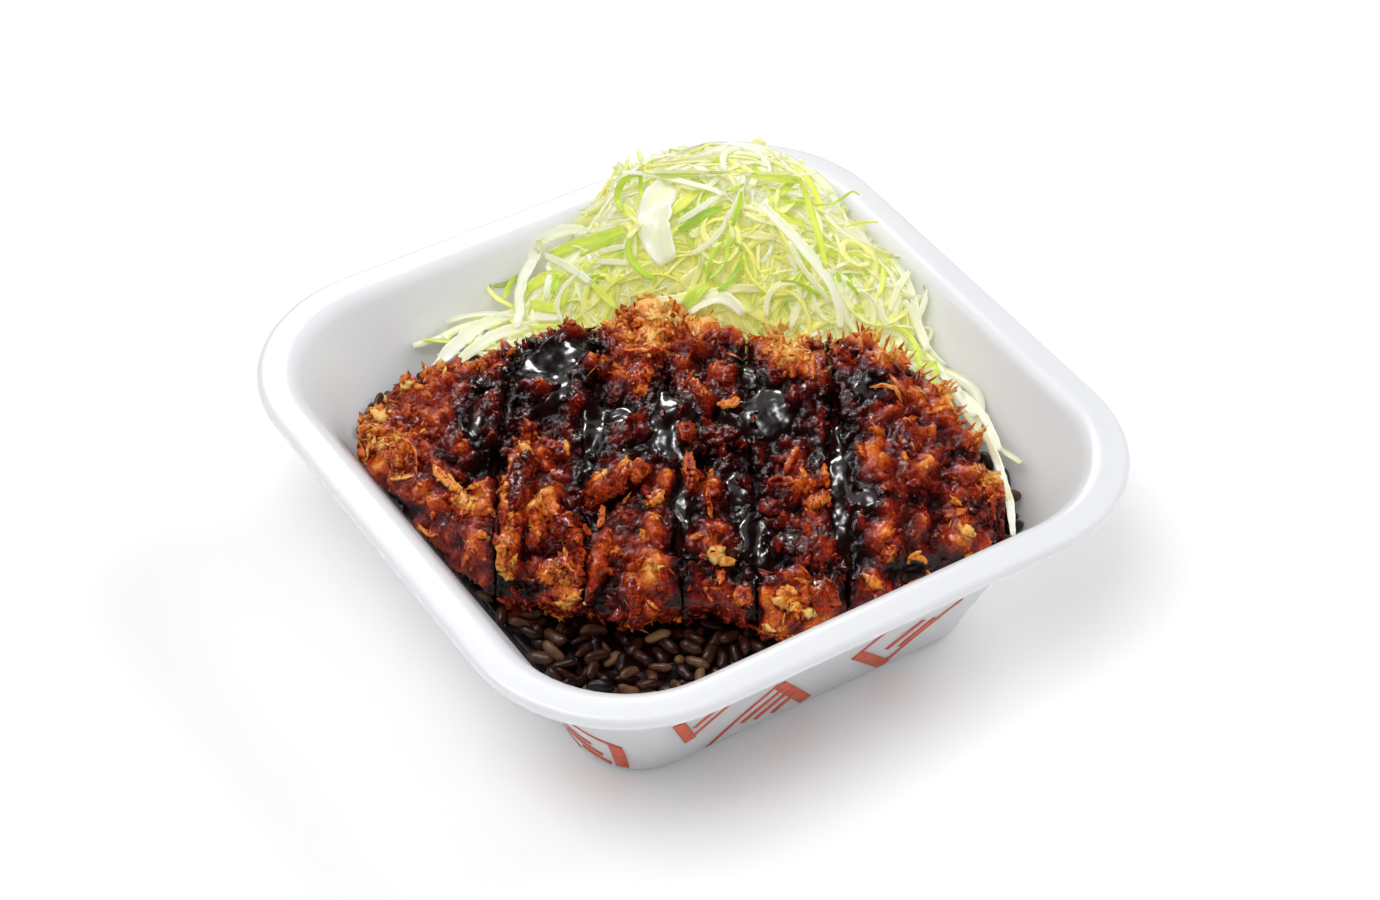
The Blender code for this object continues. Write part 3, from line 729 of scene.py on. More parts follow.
def slice_span(index, across):
    """Low and high end of a slice along the cutlet, at places across it."""
    low = np.full_like(across, CUTLET_PLAN[0][0] * MM)
    high = np.full_like(across, CUTLET_PLAN[-1][0] * MM)
    if index > 0:
        low = cut_line(index - 1, across) + SLICE_GAP / 2.0
    if index < LAST_SLICE:
        high = cut_line(index, across) - SLICE_GAP / 2.0
    return low, high


def slice_bulge(along, across):
    """Broad swells of the cutlet's top."""
    spots = np.stack([along, across], -1) / BULGE_SPAN
    values = [noise.noise(Vector((a + 3.1, b + 7.7, 0.4))) for a, b in spots.reshape(-1, 2)]
    return BULGE_HEIGHT * np.array(values).reshape(along.shape)


def slice_point(a, b, c, index):
    """Points of the plain slice: a along, b across, c up, each from -1 to 1."""
    t = (a + 1.0) / 2.0
    round_b = b * np.sqrt(1.0 - SIDE_ROUNDING * c * c)
    round_c = c * np.sqrt(1.0 - EDGE_ROUNDING * b ** 4)
    low, high = slice_span(index, np.full_like(a, CUTLET_FRONT))
    front, back = plan_edges(low + (high - low) * t)
    across = front + (back - front) * (round_b + 1.0) / 2.0
    low, high = slice_span(index, across)
    shoulder = CUT_SHOULDER * np.maximum(0.0, c) ** 4
    tip = END_ROUND * (0.55 * c * c + 0.45 * b * b)
    low = low + (tip if index == 0 else shoulder)
    high = high - (tip if index == LAST_SLICE else shoulder)
    along = low + (high - low) * t
    free = {0: 1.0 - t, LAST_SLICE: t}.get(index, 0.0 * t)
    thick = CUTLET_THICKNESS * (1.0 - END_THINNING * free ** 3)
    z = cutlet_underside(along, across) + thick * (1.0 + round_c) / 2.0
    return along, across, z + slice_bulge(along, across) * np.maximum(0.0, c)


def cutlet_top(along, across):
    """Height of the plain cutlet's top."""
    front, back = plan_edges(along)
    b = np.clip((2.0 * (across - front) / (back - front) - 1.0) / 0.86, -1.16, 1.16)
    free = smooth_step(44.0 * MM, 78.0 * MM, np.abs(along)) ** 2
    thick = CUTLET_THICKNESS * (1.0 - END_THINNING * free)
    round_c = np.sqrt(np.maximum(0.04, 1.0 - EDGE_ROUNDING * b ** 4))
    return cutlet_underside(along, across) + thick * (1.0 + round_c) / 2.0 + slice_bulge(along, across)


def oval_share(along, across, oval):
    """How far a place is from an oval's middle, as a share of the way to its edge."""
    return np.hypot((along / MM - oval[0]) / oval[2], (across / MM - oval[1]) / oval[3])


def sauce_shares(along, across):
    """Sauce in the pools and the wet crust round them, each from 0 to 1; both keep to hollows."""
    spots = plan_points(along, across, cutlet_top(along, across))
    ragged = 0.34 * ripple(spots, 5.0 * MM, 51) + 0.26 * ripple(spots, 2.2 * MM, 52)
    ragged -= 0.13 * clump_height(spots) / MM + 0.06 * knob_height(spots) / MM
    pooled = np.zeros_like(along)
    soaked = np.zeros_like(along)
    for pool in SAUCE_POOLS:
        near = 1.0 - oval_share(along, across, pool) + ragged
        most = min(1.0, 0.35 + pool[4] * 0.55)
        pooled = np.maximum(pooled, smooth_step(-0.4, 0.4, near) * most)
        soaked = np.maximum(soaked, smooth_step(-1.5, 0.1, near) * most)
    return pooled, soaked


def sauce_amount(along, across):
    """Sauce in the pools alone, from 0 to 1."""
    return sauce_shares(along, across)[0]


def dryness(along, across):
    """How golden the crust is where the sauce has not run: 0 for most of it."""
    pale = np.zeros_like(along)
    for cu, cv, reach, share in DRY_PATCHES:
        far = np.hypot(along / MM - cu, across / MM - cv) / reach
        pale = np.maximum(pale, share * (1.0 - smooth_step(0.3, 1.4, far)))
    return pale


def seam_share(along, across):
    """How open a cut between two slices looks: up to 1 in its middle, falling to 0 beside it."""
    share = np.zeros_like(along)
    for index, openness in enumerate(CUT_OPENNESS):
        beside = smooth_step(0.3 * MM, 2.4 * MM, np.abs(along - cut_line(index, across)))
        share = np.maximum(share, (1.0 - beside) * np.interp(across / MM, OPENNESS_PLACES, openness))
    return share


def ridge_height(along, across):
    """Height of the long ridges of crust."""
    height = np.zeros_like(along)
    for cu, cv, heading, length, width, rise in RIDGES:
        c, s = math.cos(math.radians(heading)), math.sin(math.radians(heading))
        du, dv = along - cu * MM, across - cv * MM
        ahead, aside = (du * c + dv * s) / (length * MM), (dv * c - du * s) / (width * MM)
        body = np.maximum(0.0, 1.0 - np.maximum(0.0, np.abs(ahead) - 0.5) ** 2 * 4.0 - aside ** 2)
        height = np.maximum(height, rise * MM * np.sqrt(body))
    return height


def clump_height(points):
    """Large lumps of crust, some millimetres high, with hollows between them and grooves at the cuts."""
    warp = ripples(points, 6.0 * MM, 11) * 2.0 * MM
    near, number = cobbles(points + warp, CLUMP_SPAN, 20)
    lumps = CLUMP_HEIGHT * (0.60 - near) * (0.5 + number)
    along, across = from_plan(points[..., 0], points[..., 1])
    return lumps + ridge_height(along, across) - SEAM_DEPTH * seam_share(along, across)


def knob_height(points):
    """Smaller lumps on the large ones."""
    warp = ripples(points, 3.0 * MM, 21) * MM
    knob, _ = cobbles(points + warp, KNOB_SPAN, 25)
    return KNOB_HEIGHT * (0.56 - knob)


def crumb_height(points):
    """Crumbs and grit on the lumps."""
    warp = ripples(points, 2.0 * MM, 15) * 0.7 * MM
    crumb, number = cobbles(points + warp, CRUMB_SPAN, 30)
    grit, _ = cobbles(points + 0.5 * warp, GRIT_SPAN, 40)
    height = CRUMB_HEIGHT * (0.58 - crumb) * (0.4 + 1.1 * number)
    return height + GRIT_HEIGHT * (0.58 - grit), number


def crust_fields(along, across, points, height, number):
    """Tone, from 0 soaked to 1 golden, and wetness of the crust; the tone holds painted shade in hollows and
    open cuts and painted light on the tops of lumps.
    """
    sauce, soaked = sauce_shares(along, across)
    hollow = 1.0 - smooth_step(-2.6 * MM, 0.2 * MM, height)
    hollow = np.maximum(hollow, seam_share(along, across))
    tone = 0.34 + 0.15 * ripple(points, 9.0 * MM, 61) + 0.16 * ripple(points, 3.5 * MM, 62)
    # The term in height makes the crust lighter the higher it stands: painted light on the tops of lumps.
    tone += 0.08 * (number - 0.5) + 0.11 * height / MM + 0.60 * dryness(along, across)
    front, back = plan_edges(along)
    # The back edge is lighter: its crust is dry, and painted light stands in for crumbs lit from behind.
    tone += 0.16 * smooth_step(0.80, 0.98, (across - front) / (back - front))
    # Hollows and open cuts between the slices are darkened: painted shade.
    tone -= 0.16 * sauce + 0.28 * soaked + 0.32 * hollow
    wet = 0.12 + 0.8 * sauce + 0.5 * soaked + 0.4 * hollow + 0.4 * ripple(points, 6.0 * MM, 63)
    return tone, np.clip(wet, 0.0, 1.0)


def hold_in_slice(points, index, over):
    """Keeps points on their own side of the cuts, with over as the room past them."""
    along, across = from_plan(points[:, 0], points[:, 1])
    low, high = slice_span(index, across)
    low = low - (over if index > 0 else 0.0)
    high = high + (over if index < LAST_SLICE else 0.0)
    held = plan_points(np.clip(along, low, high), across, points[:, 2])
    return keep_off_wall(held, 0.4 * MM)


# Cells of a slice's surface along, across and up; the end slices are longer.
SLICE_CELLS = (40, 164, 22)
END_SLICE_CELLS = (68, 164, 22)


def slice_crust(index):
    """The slice's own craggy surface."""
    cage, quads = box_shell(END_SLICE_CELLS if index in (0, LAST_SLICE) else SLICE_CELLS)
    a, b, c = cage.T
    along, across, z = slice_point(a, b, c, index)
    points = plan_points(along, across, z)
    normals = point_normals(points, quads)
    cut = ((a < -0.99) & (index > 0)) | ((a > 0.99) & (index < LAST_SLICE))
    share = np.where(cut, np.maximum(0.12, smooth_step(0.4, 1.0, c)), 1.0)
    share = np.where(c < -0.99, 0.15, share)
    glaze = 1.0 - smooth_step(0.5, 1.2, oval_share(along, across, GLAZED_PATCH))
    crumbs, number = crumb_height(points)
    smooth = 1.0 - 0.65 * smooth_step(0.35, 0.9, sauce_amount(along, across))
    height = clump_height(points) + knob_height(points) * smooth + crumbs * smooth
    height = height * (1.0 - 0.7 * glaze)
    moved = hold_in_slice(points + normals * (height * share)[:, None], index, 0.0)
    tone, wet = crust_fields(along, across, points, height, number)
    # The cut faces below the top get a dark tone: painted shade in the narrow gaps between slices.
    tone = np.where(cut & (c < 0.7), 0.22, tone + 0.12 * glaze)
    wet = np.clip(wet + 0.6 * glaze, 0.0, 1.0)
    crusted = (~cut | (c > 0.9)) & (c > -0.99)
    return moved, quads, {"tone": tone, "wet": wet}, point_normals(moved, quads), crusted


# Crumbs


def shard_shapes(rng, count, stations, sides, ragged):
    """Template crumbs: flat tubes along X, from -1 to 1, with ragged outlines and a bend."""
    shapes = []
    for _ in range(count):
        t = np.linspace(-1.0, 1.0, stations)
        girth = np.clip(1.0 - np.abs(t) ** 2.2, 0.12, 1.0) * rng.uniform(0.65, 1.25, stations)
        bend = rng.uniform(-0.35, 0.35) * t * t
        swing = rng.uniform(-0.25, 0.25) * np.sin(t * 2.4 + rng.uniform(0, 6))
        twist = rng.uniform(-0.7, 0.7) * t + rng.uniform(0.0, math.tau)
        ring = []
        for k in range(stations):
            angles = np.arange(sides) / sides * math.tau + 0.3 * rng.normal(size=sides)
            reach = girth[k] * (1.0 + ragged * rng.normal(size=sides))
            p = np.cos(angles) * reach
            q = np.sin(angles) * reach
            ct, st = math.cos(twist[k]), math.sin(twist[k])
            y = p * ct - q * 0.75 * st
            z = p * st * 0.75 + q * ct
            x = t[k] + 0.1 * rng.normal(size=sides)
            ring.append(np.stack([x, y + swing[k], z + bend[k]], -1))
        shapes.append(np.concatenate(ring))
    faces = []
    for k in range(stations - 1):
        for s in range(sides):
            n = (s + 1) % sides
            faces.append((k * sides + s, k * sides + n, (k + 1) * sides + n))
            faces.append((k * sides + s, (k + 1) * sides + n, (k + 1) * sides + s))
    top = (stations - 1) * sides
    for s in range(1, sides - 1):
        faces.append((0, s + 1, s))
        faces.append((top, top + s, top + s + 1))
    return shapes, np.array(faces)


def place_shards(shapes, faces, kinds, spots, directions, normals, sizes):
    """Copies of the templates: laid along directions, with normals as their flat side."""
    x_axis = unit(directions)
    y_axis = unit(np.cross(normals, x_axis))
    z_axis = np.cross(x_axis, y_axis)
    shape = np.array(shapes)[kinds]
    scaled = shape * sizes[:, None, :] / 2.0
    points = (spots[:, None, :] + scaled[..., 0:1] * x_axis[:, None, :]
              + scaled[..., 1:2] * y_axis[:, None, :] + scaled[..., 2:3] * z_axis[:, None, :])
    count = shape.shape[1]
    tris = faces[None, :, :] + (np.arange(len(spots)) * count)[:, None, None]
    return points.reshape(-1, 3), tris.reshape(-1, 3), count


def random_tangents(rng, normals, lead, tilt):
    """Directions along the surface, nearer lead where it is given, lifted by tilt."""
    wild = rng.normal(size=normals.shape) + lead
    flat = unit(wild - normals * np.sum(wild * normals, axis=1, keepdims=True))
    lift = np.tan(rng.normal(0.0, tilt, len(normals)))[:, None]
    return flat + normals * lift


# Crumbs on the crust: name, count on a narrow slice and on an end slice, length in mm, width and
# thickness as shares of the length, stations, sides, raggedness, tilt and how far it keeps to dry
# crust.
CRUMB_KINDS = (
    ("grit", 380, 500, (0.6, 1.7), (0.55, 0.95), (0.40, 0.75), 5, 5, 0.30, 0.5, 0.0),
    ("clod", 90, 140, (2.4, 5.2), (0.45, 0.80), (0.35, 0.60), 8, 8, 0.34, 0.55, 0.5),
    ("flake", 60, 100, (3.0, 6.0), (0.30, 0.46), (0.14, 0.24), 8, 6, 0.34, 0.40, 1.0),
    ("wisp", 320, 440, (1.4, 4.2), (0.08, 0.17), (0.06, 0.12), 5, 3, 0.24, 0.50, 1.2),
)
CRUMB_SHAPES = 16

# Spikes of crust that stand up: (along, across, lean along, lean across, length, width, paleness),
# with places and sizes in mm. Each stands for a tuft of them.
SPIKES = (
    (-2.5, 29.5, 0.00, 0.15, 7.5, 2.0, 0.80),
    (-4.5, 29.0, -0.35, 0.2, 5.5, 1.6, 0.72),
    (-0.5, 29.0, 0.4, 0.2, 5.0, 1.4, 0.74),
    (-13.0, 29.0, -0.5, 0.4, 4.5, 1.6, 0.66),
    (-17.0, 28.0, -0.6, 0.5, 4.0, 1.4, 0.62),
    (21.0, 24.0, -0.25, 0.3, 6.5, 1.5, 0.78),
    (29.0, 22.5, 0.15, 0.3, 5.0, 1.3, 0.72),
    (33.5, 22.0, 0.3, 0.4, 4.5, 1.2, 0.70),
    (42.0, 24.0, 0.2, 0.5, 4.5, 1.3, 0.66),
    (49.0, 23.5, 0.5, 0.5, 6.0, 1.3, 0.76),
    (52.0, 21.5, 0.7, 0.4, 5.5, 1.2, 0.74),
    (57.0, 17.0, 0.8, 0.4, 5.0, 1.2, 0.72),
    (62.0, 10.0, 0.9, 0.4, 5.5, 1.3, 0.72),
    (66.0, 4.5, 0.9, 0.3, 5.0, 1.2, 0.70),
    (70.0, -4.0, 1.0, 0.2, 4.5, 1.2, 0.72),
    (-30.0, 26.0, -0.2, 0.4, 3.5, 1.2, 0.50),
    (-64.0, 13.0, -0.4, 0.5, 3.5, 1.2, 0.52),
    (-76.0, 1.0, -0.9, 0.2, 5.0, 1.4, 0.78),
    (-75.5, -6.0, -0.9, -0.2, 4.5, 1.2, 0.74),
    (-77.0, -3.0, -1.0, 0.0, 4.0, 1.2, 0.80),
)
TUFT_COUNT = 7
TUFT_SPREAD = 1.9
SPIKE_SHAPES = 12


def highest_near(points, along, across):
    """The points of a surface that lie nearest to places in plan and highest there."""
    x, y = to_plan(along, across)
    far = np.hypot(points[None, :, 0] - x[:, None], points[None, :, 1] - y[:, None])
    return points[np.argmin(far - 0.5 * points[None, :, 2], axis=1)]


def spikes(index, crust, rng):
    """Tufts of spikes on one slice, as a list of one part, or of none."""
    own = []
    for spike in SPIKES:
        low, high = slice_span(index, np.array([spike[1] * MM]))
        if low[0] <= spike[0] * MM < high[0]:
            own += [spike] * TUFT_COUNT
    if not own:
        return []
    table = np.array(own)
    table[:, 0:2] += rng.normal(0.0, TUFT_SPREAD, (len(table), 2))
    along, across = table[:, 0] * MM, table[:, 1] * MM
    front, back = plan_edges(along)
    across = np.clip(across, front + 1.5 * MM, back - 1.0 * MM)
    lean = table[:, 2:4] + rng.normal(0.0, 0.35, (len(table), 2))
    ahead = unit(plan_points(lean[:, 0], lean[:, 1], np.full(len(table), 0.9)))
    side = np.tile(np.array([*to_plan(0.0, -1.0), 0.3]), (len(table), 1))
    length = table[:, 4] * rng.uniform(0.3, 1.05, len(table))
    width = table[:, 5] * rng.uniform(0.4, 1.1, len(table))
    sizes = np.stack([length, width, width * 0.4], -1) * MM
    spots = highest_near(crust, along, across) + ahead * (0.25 * sizes[:, 0:1])
    shapes, faces = shard_shapes(rng, SPIKE_SHAPES, 10, 7, 0.34)
    kinds = rng.integers(0, SPIKE_SHAPES, len(table))
    placed, tris, each = place_shards(shapes, faces, kinds, spots, ahead, side, sizes)
    # The spikes are made paler again: dry golden crust, and painted light for crumbs lit from behind.
    tone = np.repeat(table[:, 6] + rng.normal(0.16, 0.12, len(table)), each)
    return [(placed, tris, {"tone": tone, "wet": 0.1 + 0.0 * tone})]


def slice_crumbs(index, points, normals, crusted, fields, rng):
    """Panko crumbs, flakes and wisps stuck on one slice."""
    area = np.flatnonzero(crusted)
    along, across = from_plan(points[area, 0], points[area, 1])
    front, back = plan_edges(along)
    edge = smooth_step(0.62, 1.0, np.abs(2.0 * (across - front) / (back - front) - 1.0))
    if index in (0, LAST_SLICE):
        edge = np.maximum(edge, smooth_step(58.0 * MM, 74.0 * MM, np.abs(along)))
    dry = np.clip(0.12 + 0.8 * edge + 2.0 * dryness(along, across), 0.05, 1.5)
    low, high = slice_span(index, across)
    to_low = along - low if index > 0 else np.inf
    to_high = high - along if index < LAST_SLICE else np.inf
    hidden = 1.0 - np.minimum(1.0, 1.2 * seam_share(along, across))
    by_cut = (1.0 - smooth_step(0.3 * MM, 2.2 * MM, np.minimum(to_low, to_high))) * hidden
    parts = []
    down_front = np.array([*to_plan(0.25, -1.0), 0.0])
    for name, narrow, wide, lengths, widths, thicks, stations, sides, ragged, tilt, choosy in CRUMB_KINDS:
        count = wide if index in (0, LAST_SLICE) else narrow
        wet = fields["wet"][area]
        weight = dry ** choosy * (1.0 - 0.8 * smooth_step(0.35, 0.9, wet))
        weight = weight + 1.6 * by_cut * (name != "flake")
        picked = rng.choice(len(area), count, p=weight / weight.sum())
        chosen = area[picked]
        length = rng.uniform(*lengths, count) * rng.uniform(0.75, 1.15, count)
        sizes = np.stack([length, length * rng.uniform(*widths, count),
                          length * rng.uniform(*thicks, count)], -1) * MM
        shapes, faces = shard_shapes(rng, CRUMB_SHAPES, stations, sides, ragged)
        normal = normals[chosen]
        tangents = random_tangents(rng, normal, down_front * 0.7 * choosy, tilt)
        spots = points[chosen] + normal * (sizes[:, 2:3] * 0.22)
        kinds = rng.integers(0, CRUMB_SHAPES, count)
        placed, tris, each = place_shards(shapes, faces, kinds, spots, tangents, normal, sizes)
        tone = fields["tone"][chosen] + rng.normal(0.03, 0.09, count) + 0.10 * choosy
        behind = smooth_step(-20.0 * MM, 10.0 * MM, across[picked])
        lucky = rng.random(count) < 0.04 + (0.05 + 0.17 * behind) * edge[picked]
        tone = np.where(lucky, tone + rng.uniform(0.18, 0.42, count), tone)
        parts.append((placed, tris, {"tone": np.repeat(tone, each),
                                     "wet": np.repeat(np.clip(wet[picked], 0.0, 0.7), each)}))
    return parts


FIBRE_SIDES = 12


def fibre_tube(path, widths, up, rng):
    """A strand of crust along a path: fibres along it, lumps on it and both ends closed."""
    sides = FIBRE_SIDES
    ahead = unit(np.gradient(path, axis=0))
    side = unit(np.cross(ahead, up))
    rise = np.cross(side, ahead)
    angles = np.arange(sides) / sides * math.tau
    fibres = 1.0 + 0.30 * rng.normal(size=sides).clip(-1.3, 1.3)
    reach = widths[:, None] / 2.0 * fibres
    points = (path[:, None, :] + side[:, None, :] * (np.cos(angles) * reach)[..., None]
              + rise[:, None, :] * (np.sin(angles) * reach * 0.6)[..., None])
    out = points - path[:, None, :]
    grain = 0.22 * ripple(points, 1.6 * MM, 111) + 0.34 * ripple(points, 0.5 * MM, 112)
    points = (points + out * grain[..., None]).reshape(-1, 3)
    count = len(path)
    ids = np.arange(count * sides).reshape(count, sides)
    quads = grid_quads(ids, np.roll(ids, -1, 1))[:, (0, 3, 2, 1)]
    start, end = len(points), len(points) + 1
    caps = [(start, ids[0, k], ids[0, (k + 1) % sides]) for k in range(sides)]
    caps += [(end, ids[-1, (k + 1) % sides], ids[-1, k]) for k in range(sides)]
    tips = [path[:1] - ahead[:1] * widths[0] * 0.3, path[-1:] + ahead[-1:] * widths[-1] * 0.3]
    faces = np.concatenate([split_quads(quads), np.array(caps)])
    return np.concatenate([points, *tips]), faces, np.append(np.tile(fibres - 1.0, count), [0.0, 0.0])


def strands(index, crust, rng):
    """The strands and lumps of the photo that lie on this slice, laid on its crust."""
    axes = [np.array(axis) for axis in camera_axes()[1:]]
    pixels, depth = photo_pixels(crust, axes)
    up = axes[2] + np.array([0.0, 0.0, 0.6])
    up /= np.linalg.norm(up)
    parts = []
    for width, first, last, places in STRANDS:
        middle = places[len(places) // 2]
        spot = seen_spot(*middle, cutlet_top, 2.0 * MM)
        along, across = from_plan(spot[0], spot[1])
        low, high = slice_span(index, np.array([across]))
        if not (index == 0 or along >= low[0]) or not (index == LAST_SLICE or along < high[0]):
            continue
        corners = []
        for px, py in places:
            far = np.hypot(pixels[:, 0] - px, pixels[:, 1] - py)
            near = far < far.min() + 4.0
            corners.append(crust[near][np.argmax(depth[near])])
        path = smooth_path(np.array(corners), 0.32 * MM, 12, 0.8 * width * MM)
        path = path + up * (0.10 * width * MM + 0.35 * MM) + rng.normal(0.0, 0.05 * width * MM, path.shape)
        t = np.linspace(-1.0, 1.0, len(path))
        girth = np.clip(1.0 - np.abs(t) ** 3.0, 0.2, 1.0) ** 0.6
        widths = width * MM * girth * rng.uniform(0.8, 1.15, len(path))
        points, faces, fibre = fibre_tube(path, widths, up, rng)
        share = np.append(np.repeat((t + 1.0) / 2.0, FIBRE_SIDES), [0.0, 1.0])
        tone = first + (last - first) * share - 0.10 + 0.3 * fibre + 0.16 * ripple(points, 1.5 * MM, 113)
        wet = np.clip(1.2 - 1.5 * tone, 0.0, 0.5)
        parts.append((points, faces, {"tone": tone, "wet": wet}))
    return parts


def make_slice(index):
    """One slice: its crust with crumbs, noted strands and spikes, kept between its cuts."""
    rng = np.random.default_rng(SLICE_SEED + index)
    points, quads, fields, normals, crusted = slice_crust(index)
    parts = [(points, split_quads(quads), fields)]
    parts += slice_crumbs(index, points, normals, crusted, fields, rng)
    parts += strands(index, points[crusted], rng)
    parts += spikes(index, points[crusted], rng)
    points, faces, fields = join_arrays(parts)
    points = hold_in_slice(points, index, 2.2 * MM)
    low = cutlet_underside(*from_plan(points[:, 0], points[:, 1])) - 1.0 * MM
    points[:, 2] = np.maximum(points[:, 2], low)
    return mesh_piece(f"crumbed_slice_{index + 1}", points, faces, fields)


# Sauce


# The part of the cutlet that sauce may lie on: along and across it, in mm.
SAUCE_REGION = ((-58.0, 50.0), (-60.0, 26.0))
SAUCE_STEP = 0.5 * MM
SAUCE_THICKNESS = 0.9 * MM
SAUCE_SINK = 1.7 * MM
SAUCE_FILL = 2.6 * MM
SETTLING_ROUNDS = 9


def settled(heights, rounds):
    """Heights on a grid levelled out, as a thick liquid does."""
    for _ in range(rounds):
        inner = heights[:-2, 1:-1] + heights[2:, 1:-1] + heights[1:-1, :-2] + heights[1:-1, 2:]
        heights[1:-1, 1:-1] = 0.5 * heights[1:-1, 1:-1] + 0.125 * inner
    return heights


def make_sauce():
    """Sauce lying in pools: a smooth sheet over the lumps that crumbs poke through."""
    along, across = np.meshgrid(*(np.arange(low * MM, high * MM, SAUCE_STEP) for low, high in SAUCE_REGION))
    amount = sauce_amount(along, across)
    spots = plan_points(along, across, cutlet_top(along, across))
    deep = smooth_step(0.1, 0.9, amount)
    lumps = clump_height(spots) * (1.0 - 0.5 * deep) + knob_height(spots) * (0.55 - 0.4 * deep)
    spots[..., 2] = settled(spots[..., 2] + lumps - SAUCE_SINK + SAUCE_FILL * deep, SETTLING_ROUNDS)
    ids = np.arange(along.size).reshape(along.shape)
    quads = grid_quads(ids[:, :-1], ids[:, 1:])
    shown = (amount > 0.04) & inside_cutlet(along, across, -1.0 * MM)
    quads = quads[shown.ravel()[quads].all(axis=1)]
    used, faces = np.unique(quads, return_inverse=True)
    fields = {"depth": amount.ravel()[used]}
    sheet = mesh_piece("brown_sauce", spots.reshape(-1, 3)[used], faces.reshape(-1, 4), fields)
    return thicken(sheet, SAUCE_THICKNESS)


# Rice


def rice_surface(x, y):
    """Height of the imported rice: it rises towards the cutlet and stays under it."""
    along, across = from_plan(x, y)
    spread = np.hypot(along / (62.0 * MM), (across - 14.0 * MM) / (54.0 * MM))
    raised = RICE_LEVEL + RICE_RISE * (1.0 - smooth_step(0.25, 1.0, spread))
    return np.minimum(raised, cutlet_underside(along, across) - 0.5 * MM)


def make_rice_core():
    """Packed rice that fills the bowl: lumps of the size of grains over its whole top."""
    side = 0.6 * MM
    cove = cove_arc(4, upwards=True)
    rings = [rounded_square(cove[0][0] - side, cove[0][1] + 0.5 * MM, 12, 16) * (0.01, 0.01, 1.0)]
    rings += [rounded_square(half - side, z + 0.5 * MM, 12, 16) for half, z in cove]
    rings += [rounded_square(inner_half(z) - side, z, 12, 16) for z in np.linspace(14.0, 28.0, 5) * MM]
    edge = rounded_square(inner_half(RICE_LEVEL) - 0.8 * MM, RICE_LEVEL, 12, 16)
    for share in np.linspace(1.0, 0.01, 64):
        ring = edge * (share, share, 1.0)
        lumps = cobbles(ring * (1.0, 1.0, 0.0), 3.2 * MM, 90)[0]
        ring[:, 2] = rice_surface(ring[:, 0], ring[:, 1]) + 1.3 * MM - 1.6 * MM * lumps
        rings.append(ring)
    return closed_rings(rings)


def grain_shape(stations=9, sides=9):
    """A grain of rice: a plump spindle from -1 to 1 along X with a slight bow."""
    rings = []
    for k in range(stations):
        t = -1.0 + 2.0 * (k + 0.25) / (stations - 0.5)
        girth = (1.0 - abs(t) ** 3.6) ** 0.5
        angles = np.arange(sides) / sides * math.tau
        ring = np.stack([np.full(sides, t), np.cos(angles) * girth, np.sin(angles) * girth * 0.86], -1)
        ring[:, 1] += 0.22 * (1.0 - t * t)
        rings.append(ring)
    rings = [np.array([[-1.0, 0.0, 0.0]])] + rings + [np.array([[1.0, 0.0, 0.0]])]
    points = np.concatenate(rings)
    faces = []
    last = len(points) - 1
    for s in range(sides):
        n = (s + 1) % sides
        faces.append((0, 1 + n, 1 + s))
        faces.append((last, last - sides + s, last - sides + n))
        for k in range(stations - 1):
            a = 1 + k * sides
            faces.append((a + s, a + n, a + sides + n))
            faces.append((a + s, a + sides + n, a + sides + s))
    return points, np.array(faces)


def drop_grains(rng, count):
    """Grains dropped one by one onto the rice that shows, each resting on those below it."""
    placed = np.zeros((0, 4))
    spots, turns, sizes, tones = [], [], [], []
    tries = 0
    while len(spots) < count and tries < count * 14:
        tries += 1
        x, y = rng.uniform(-66.0, 66.0, 2) * MM
        along, across = from_plan(x, y)
        if inside_cutlet(along, across, -7.0 * MM):
            continue
        if math.hypot((along - HEAP_CENTRE[0]) / HEAP_RIGHT, (across - HEAP_CENTRE[1]) / HEAP_FRONT) < 0.8:
            continue
        size = rng.uniform(0.82, 1.05)
        heading = rng.uniform(0.0, math.tau)
        pitch = rng.normal(0.0, 0.36)
        ahead = np.array([math.cos(heading) * math.cos(pitch), math.sin(heading) * math.cos(pitch),
                          math.sin(pitch)])
        thick = GRAIN_WIDTH * size / 2.0
        reach = GRAIN_LENGTH * size / 2 - thick
        beads = np.array([x, y, 0.0]) + ahead * np.linspace(-1, 1, GRAIN_BEADS)[:, None] * reach
        floor = (rice_surface(beads[:, 0], beads[:, 1]) - 0.9 * MM + thick - beads[:, 2]).max()
        if len(placed):
            near = placed[np.hypot(placed[:, 0] - x, placed[:, 1] - y) < 9.0 * MM]
            if len(near):
                flat = np.hypot(beads[:, None, 0] - near[None, :, 0], beads[:, None, 1] - near[None, :, 1])
                touch = (thick + near[None, :, 3]) * GRAIN_SETTLE
                over = np.sqrt(np.maximum(0.0, touch ** 2 - flat ** 2))
                rest = np.where(flat < touch, near[None, :, 2] + over - beads[:, None, 2], -1.0)
                floor = max(floor, rest.max())
        beads[:, 2] += floor
        if beads[:, 2].max() > rice_surface(x, y) + GRAIN_PILE:
            continue
        if (wall_reach(beads[:, 0], beads[:, 1], beads[:, 2]) < thick + 0.3 * MM).any():
            continue
        under = inside_cutlet(*from_plan(beads[:, 0], beads[:, 1]), -2.0 * MM)
        room = cutlet_underside(*from_plan(beads[:, 0], beads[:, 1])) - thick
        if (under & (beads[:, 2] > room)).any():
            continue
        placed = np.concatenate([placed, np.column_stack([beads, np.full(GRAIN_BEADS, thick)])])
        spots.append(beads.mean(axis=0))
        turns.append(ahead)
        sizes.append((GRAIN_LENGTH * size, 1.14 * GRAIN_WIDTH * size, 1.06 * GRAIN_WIDTH * size))
        tones.append(rng.beta(1.8, 2.6) + 0.10 * rng.normal())
    return np.array(spots), np.array(turns), np.array(sizes), np.array(tones)


